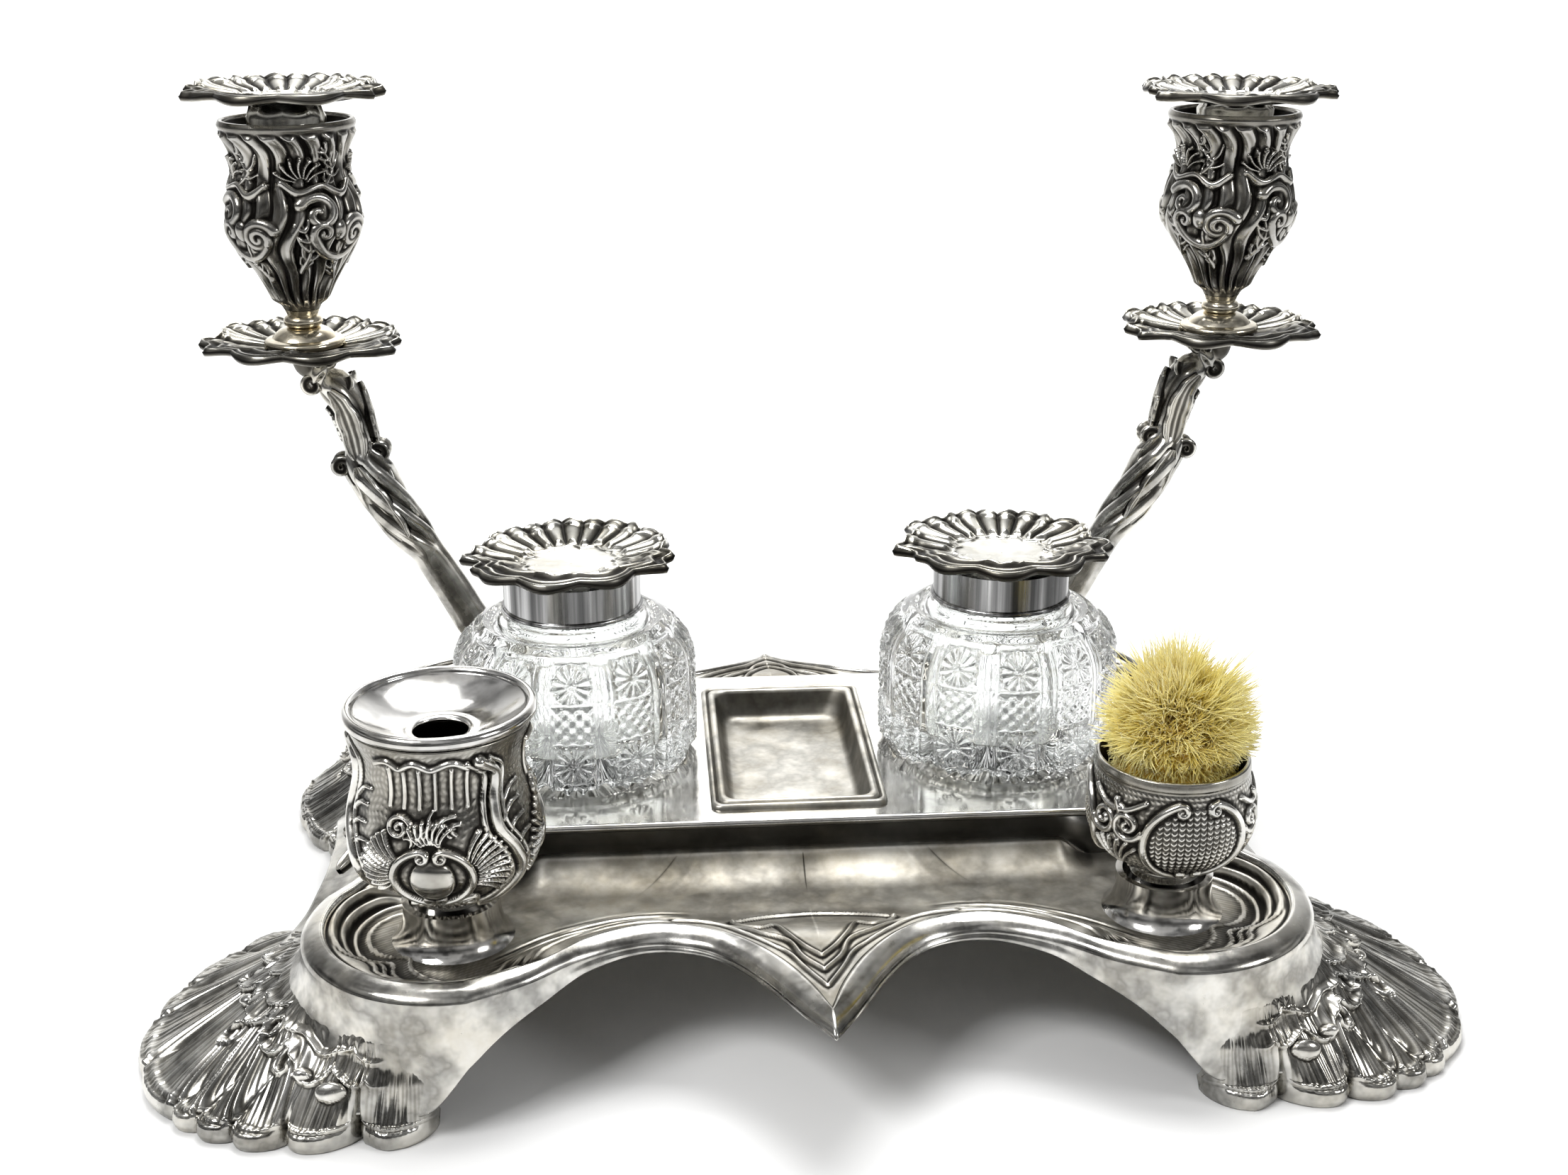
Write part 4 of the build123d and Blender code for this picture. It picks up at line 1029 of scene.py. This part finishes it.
def bottle(side):
    """Thick cut-glass bottle, hollow inside."""
    node_name = "glass_bottle_" + side
    centre = middle(node_name)[:2]
    z0 = low(node_name)[2]
    outer = np.vstack([
        straight((0.5, z0 + 1.2), (24, z0 + 0.6), (30, z0), (34.2, z0), step=1.6),
        straight((34.4, z0 + 0.1), (GIRTH, 52), (GIRTH, 78), step=0.42),
        smooth([(36.7, 78.5), (36, 82.5), (34, 86.6), (30.5, 90.2), (26.8, 92.2)], 46),
        smooth([(26.2, 92.3), (24.4, 91.7), (22.6, 92.2), (21, 93.6), (19.3, 94.4), (19, 96.5),
                (19, 103.6)], 26),
        smooth([(18.6, 104.1), (16, 104.2), (14, 104), (13.5, 103)], 8),
    ])
    inner = smooth([
        (13.5, 101), (13.6, 95), (15.5, 92), (21.5, 88), (25.2, 82), (26, 74), (26.5, 60), (24, 57),
        (12, 56.2), (0.5, 56)], 44)
    piece = lathe("cut_bottle_" + side, centre, outer, inner, 520, cut_pattern, material=GLASS,
                  body="inkwell_" + side)
    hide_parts(node_name)


def dish(name, centre, base, radius, body, replaces, hole=0.0, rise=5.0, lobes=9, phase=0.0,
         smooth_disc=0.40, tube=None):
    """Shell dish: flat bright middle, flutes at the back, scrolls at the front, waved edge with spurs."""
    turn = circle(int(360 * FINE))[:, None]

    def off(a):
        return (np.degrees(turn) - a + 180) % 360 - 180

    def ring(r, z):
        return np.dstack([r * np.cos(turn), r * np.sin(turn), z + 0 * turn])

    s = np.linspace(hole / radius, 1, 90)[None]
    wave = 0.5 + 0.5 * np.cos(lobes * (turn + phase))
    edge = radius * (0.875 + 0.095 * wave ** 0.6 + 0.03 * np.sin(2 * turn + 3 * phase + 1))
    spurs = 0.0
    for a, size in ((-8, 3.4), (186, 3.4), (202, 2.6), (-24, 2.2), (30, 1.8), (150, 1.8)):
        spurs = spurs + size * hump(off(a), 4.5)
    edge = edge + spurs
    fanned = ease((112 - np.abs(off(90))) / 30)
    front = 1 - fanned
    out = ease((s - smooth_disc) / 0.12)
    flutes = np.abs(np.sin(turn * 13)) ** 0.8 * out * ease((1.02 - s) / 0.06)
    h = rise * s ** 2.2 * (0.80 + 0.20 * fanned)
    h = h + (1.5 * flutes - 0.5) * out * fanned
    scroll = hump(s - 0.70 - 0.09 * np.cos(turn * 2 + 0.4), 0.055) * front
    hem = hump(s - 0.87 - 0.03 * np.sin(turn * 5), 0.035) * (1 - 0.6 * fanned)
    bead = hump(s - smooth_disc - 0.02 * np.sin(turn * 13), 0.018)
    border = 1.7 * scroll + 1.1 * hem + 0.5 * bead + 0.7 * hump(s - 0.965, 0.02)
    curls = np.abs(np.sin(turn * 9 + s * 16)) * ease((s - 0.50) / 0.1) * ease((0.66 - s) / 0.06) * front
    h = h + border + 0.6 * curls - 1.5 * ease((s - 0.95) / 0.05) * (0.3 + 0.7 * wave)
    relief = 1.5 * flutes * fanned + border + 0.6 * curls
    back_s = s[:, ::-1]
    drop = 1.4 * ease((back_s - 0.95) / 0.05) * (0.3 + 0.7 * wave)
    under_h = rise * back_s ** 2.2 * (0.80 + 0.20 * fanned) - drop
    strips = [ring(s * edge, base + 1.4 + h), ring(back_s * edge - 0.5 * back_s, base + under_h)]
    strips += [ring(r, z) for r, z in tube or ()]
    pts = np.concatenate(strips, 1) + np.array([centre[0], centre[1], 0.0])
    tone = np.full(pts.shape[:2], 0.55)
    # painted shade: the relief reads lighter than its surroundings, and the ring beyond the flat middle is
    # darker, most of all at the front
    shade = 0.70 + 1.1 * (relief - soften(relief, 11)) - out * (0.26 + 0.20 * front)
    tone[:, :s.shape[1]] = np.clip(shade, 0, 1)
    piece = grid(name, pts, wrap_u=True, wrap_v=True, tone=tone, material=SHELL, body=body)
    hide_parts(replaces)


def inkwells():
    for side, sx in SIDES.items():
        bottle(side)
        dish("shell_lid_" + side, middle("glass_bottle_" + side), 107.5, 31.0, "lid_" + side,
             "ink_lid_" + side, rise=4.4, phase=0.3 * sx, smooth_disc=0.46)
        paint(COLLAR, "collar_" + side)
        paint(STEEL, "hinge_pin_" + side)


inkwells()


# ---- candle branches ----

def candle_relief(turn, profile):
    """Swirling flutes all round, with scrolls and leaves over them."""
    c = Chasing(turn, profile, 18.0)
    w, t = c.wide, c.tall
    phase = c.x * (2 * math.pi * 10 / w) + 1.6 * np.sin(c.y * 0.10) + 0.5 * np.sin(c.y * 0.31)
    c.h += 2.3 * np.abs(np.sin(phase)) ** 0.7 - 0.8
    c.h += 0.25 * np.sin(phase * 3 + c.y * 0.2)
    for k in range(4):
        x = w * (k + 0.35) / 4
        c.volute(x, 36, 5.8, 150, -1.2, 2.1, 2.5)
        c.volute(x + 11, 29, 5.2, 30, 1.1, 2, 2.4)
        c.c_scroll(x + 6, 33, 8.5, 11, 200, 330, 2, 2.5)
        c.leaf([(x - 6, 17), (x - 3, 25), (x - 5, 33)], 3.4, 2, 5)
        c.leaf([(x + 9, 13), (x + 6, 20), (x + 9, 26)], 3, 1.9, 5)
        c.leaf([(x + 3, 44), (x + 7, 50), (x + 3, 57)], 3.2, 1.9, 5)
        c.boss(x + 5.5, 31, 2.6, 3.6, 2.6)
        c.fan(x - 4, 45, 90, 120, 7, 2.5, 9, 0.8, 2)
        wave = smooth([(x - 10, 46), (x - 5, 42.5), (x + 2, 44.5), (x + 8, 41.5), (x + 13, 45)], 40)
        c.ridge(wave, 1.6, 2.6, 0.9)
    return c.h * ease((t - 3.0 - c.y) / 1.2) * ease((c.y - 1.0) / 4.0)


def arm(side, sx):
    """S-scroll stem: cords below, a leaf swirl, a petalled part and a plain top, with leaves and curls."""
    route = smooth([
        (97, 50), (99.5, 57.5), (103.5, 65), (110, 77), (117.5, 89.5), (124.5, 99.5), (130.5, 110),
        (134.5, 120), (136.4, 131), (139.5, 141), (145.5, 148.5), (150.4, 152.5), (151, 158)], 150)
    n = len(route)
    t = np.linspace(0, 1, n)
    along = unit(np.gradient(route, axis=0), 0)
    side_dir = np.stack([along[:, 1], -along[:, 0]], 1)
    thick = np.interp(t, *zip(
        (0, 4.4), (0.05, 5.4), (0.15, 6), (0.30, 5.5), (0.36, 6), (0.45, 6.8), (0.55, 7), (0.60, 6),
        (0.63, 4.9), (0.70, 5.1), (0.78, 5.8), (0.81, 5.3), (0.835, 3.8), (0.855, 5.2), (0.885, 3.9),
        (0.92, 4.6), (1, 5)))
    t = t[:, None]
    lower = ease((0.34 - t) / 0.05)
    swirl = ease((t - 0.31) / 0.05) * ease((0.62 - t) / 0.03)
    upper = ease((t - 0.60) / 0.03) * ease((0.83 - t) / 0.03)
    turn = circle(96)[None]
    folds = np.abs(np.sin(turn * 3 - t * 26)) ** 0.8
    petal = np.abs(np.sin(turn * 2 - t * 7 + 0.5)) ** 0.8
    cords = np.cos(turn * 3 + 1.0 + t * 4)
    relief = 0.10 * lower * cords + swirl * (0.30 * folds - 0.14) + upper * (0.22 * petal - 0.12)
    r = thick[:, None] * (1 + relief)
    x = route[:, None, 0] + side_dir[:, None, 0] * r * np.cos(turn)
    z = route[:, None, 1] + side_dir[:, None, 1] * r * np.cos(turn)
    stem = np.dstack([sx * x, BRANCH_Y + r * np.sin(turn), z])
    # painted shade between the cords, the folds of the swirl and the petals, lighter on their crests
    dark_top = 0.30 * ease((t - 0.86) / 0.05)
    shade = 0.62 + 0.16 * lower * cords + swirl * (0.6 * folds - 0.42) + upper * (0.4 * petal - 0.3)
    tone = np.clip(shade - dark_top, 0, 1)
    piece = grid("branch_stem_" + side, stem, wrap_v=True, tone=tone, material=CAST, body="branch_" + side,
                 flip=sx > 0)
    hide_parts("candle_branch_" + side)
    lathe("branch_post_" + side, (sx * POST_X, BRANCH_Y), straight((4, 33), (4, 53), step=4), None, 40,
          material=CAST, body="branch_" + side)
    parts = []
    # leaves: start and length along the stem, distance out and forward, width
    leaves = ((0.36, 0.25, 11, 0, 4.4), (0.40, 0.20, -7, 0, 3.6), (0.38, 0.21, 2, -7, 5.2),
              (0.60, 0.20, 1, -7, 4.6), (0.62, 0.15, -8, 0, 3.0), (0.64, 0.12, 8, 0, 2.8),
              (0.36, 0.22, 2, 7, 5.0), (0.58, 0.18, 0, 7, 4.2))
    grow = np.linspace(0, 1, 26)
    for at, length, out, depth, wide in leaves:
        i = (np.clip(at + length * grow, 0, 1) * (n - 1)).astype(int)
        away = 4.6 + 0.26 * np.abs(out) * grow ** 3
        sign = np.sign(out) if out else 1
        beside, before = min(1, abs(out) / 6), min(1, abs(depth) / 6)
        base = route[i] + side_dir[i] * (sign * away * beside)[:, None]
        y = BRANCH_Y + np.sign(depth) * (5.0 + 0.20 * abs(depth) * grow ** 3) * before
        path = np.stack([sx * base[:, 0], y, base[:, 1]], 1)
        lean = side_dir[i[8]] * sign * beside
        up = (sx * lean[0], np.sign(depth) * before + 0.05, lean[1])
        lobed = 1 + 0.16 * np.abs(np.sin(grow * 9))
        widths = wide * lobed * np.sqrt(np.clip(np.sin(0.25 + grow * 2.8), 0.01, 1)) * (1 - 0.3 * grow)
        parts.append(leaf_grid(path, widths, up, ribs=4, thick=1.3, hollow=0.5, across=21))
    # curls: place along the stem, distance out, size, start angle, turns
    curls = ((0.585, 7.8, 3.0, 200, -1.1), (0.60, -5.6, 2.6, 20, 1.0), (0.80, -1.5, 4.4, 150, 1.1),
             (0.865, -5.2, 3.0, 300, 1.2), (0.855, 4.6, 2.4, 120, -1.1))
    for at, out, size, start, turns in curls:
        i = int(at * (n - 1))
        heart = route[i] + side_dir[i] * out
        curve = spiral(heart[0], heart[1], size, start, turns)
        path = np.column_stack([sx * curve[:, 0], np.full(len(curve), BRANCH_Y), curve[:, 1]])
        up = path - (sx * heart[0], BRANCH_Y, heart[1])
        widths = np.linspace(4.2, 2.6, len(curve))
        parts.append(leaf_grid(path, widths, up, ribs=2, thick=1.5, hollow=0.7, across=17))
    join_grids("branch_leaves_" + side, parts, CAST, "branch_" + side)


def candles():
    for side, sx in SIDES.items():
        arm(side, sx)
        centre = (sx * CANDLE_X, BRANCH_Y)
        body = "branch_" + side
        dish("drip_shell_" + side, centre, low("drip_pan_" + side)[2] + 0.2, PAN_R, body, "drip_pan_" + side,
             hole=5.0, rise=4.4, phase=0.5, smooth_disc=0.3, lobes=8)
        paint(WORN, "cup_base_" + side)
        outside = smooth([
            (5.8, 171.2), (7.4, 174.5), (10, 180), (13.5, 186), (17.2, 191.5), (19.6, 197), (20, 201.5),
            (18.9, 207), (17, 212), (16.3, 216), (16.7, 220.5), (18.6, 225), (20.8, 228.2), (21.4, 229.6),
            (20.8, 231)], 240)
        inside = smooth([
            (19.6, 231), (19, 229), (15.4, 221), (14.6, 213), (14.2, 198), (13, 196.6), (0, 196.4)], 30)
        cup_piece = lathe("candle_vase_" + side, centre, outside, inside, 480, candle_relief, material=DARK,
                          body=body)
        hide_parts("candle_cup_" + side)
        top = high("candle_cup_" + side)[2]
        tube = [(12.3, top + 0.6), (12.3, 214), (12.3, 197.4), (11.1, 197.4), (11.1, 214), (11.1, top + 1.4)]
        dish("nozzle_shell_" + side, centre, top + NOZZLE_LIFT[side], PAN_R, "nozzle_" + side,
             "nozzle_" + side, hole=11.1, rise=4.2, phase=1.1, smooth_disc=0.45, lobes=8, tube=tube)


candles()


# ---- stage ----

def studio():
    """Pale floor that curves up behind, soft lamps and a plain studio surround."""
    y = np.r_[np.linspace(-4, 2.0, 8), 2.0 + 1.2 * np.sin(np.linspace(0.1, 1.57, 12)), 3.2]
    z = np.r_[np.zeros(8), 1.2 - 1.2 * np.cos(np.linspace(0.1, 1.57, 12)), 5.0]
    x = np.linspace(-6, 6, 4)
    pts = np.dstack(np.broadcast_arrays(x[:, None], y[None], z[None])) / MM
    mat = shader("studio_paper", Base_Color=(0.93, 0.93, 0.925, 1), Roughness=0.8)[0]
    paper = grid("studio_paper", pts, material=mat)
    for name, place, size, power, aim in (
        ("key", (-0.9, -0.7, 1.4), 0.7, 15, (0, 0, 0.05)),
        ("fill", (1.3, -0.7, 0.9), 0.5, 6, (0, 0, 0.08)),
        ("top", (0.1, 0.45, 1.7), 1.0, 16, (0, 0, 0.05)),
        ("backdrop", (0.0, 1.3, 2.4), 1.8, 90, (0, 3.1, 0.9)),
    ):
        lamp = bpy.data.lights.new(name, "AREA")
        lamp.shape = "RECTANGLE"
        lamp.size, lamp.size_y = size, size * 0.6
        lamp.energy = power
        holder = bpy.data.objects.new(name, lamp)
        holder.location = place
        holder.rotation_euler = (Vector(aim) - Vector(place)).to_track_quat("-Z", "Y").to_euler()
        bpy.context.scene.collection.objects.link(holder)


def surround():
    """World light: pale above, darker bands at the level of the object for the metal to mirror."""
    world = bpy.data.worlds.new("studio")
    bpy.context.scene.world = world
    world.use_nodes = True
    tree = world.node_tree
    where = tree.nodes.new("ShaderNodeTexCoord")
    split = tree.nodes.new("ShaderNodeSeparateXYZ")
    tree.links.new(where.outputs["Generated"], split.inputs[0])
    bands = ramp(tree, split.outputs["Z"], [(0.0, 0.10), (0.14, 0.16), (0.24, 0.75),
                                            (0.40, 0.10), (0.60, 0.80), (1.0, 1.0)])
    blotch = node(tree, "ShaderNodeTexNoise", Scale=2.2, Detail=2.0)
    tree.links.new(where.outputs["Generated"], blotch.inputs["Vector"])
    shade = ramp(tree, blotch.outputs["Fac"], [(0.42, 0.25), (0.56, 1.0)])
    tree.links.new(mix(tree, 1.0, bands, shade, "MULTIPLY"),
                   tree.nodes["Background"].inputs["Color"])
    tree.nodes["Background"].inputs["Strength"].default_value = 0.6


def camera():
    """Camera solved from the pairs of bottles, rings and feet in the photo."""
    lens = bpy.data.cameras.new("camera")
    lens.sensor_width = 36.0
    lens.lens = 44.79
    holder = bpy.data.objects.new("camera", lens)
    holder.location = (-0.04356, -0.54211, 0.30059)
    holder.rotation_euler = (math.pi / 2 - 0.34768, 0.0, -0.07634)
    bpy.context.scene.collection.objects.link(holder)
    bpy.context.scene.camera = holder


studio()
surround()
camera()
bpy.context.scene.view_settings.view_transform = "Standard"
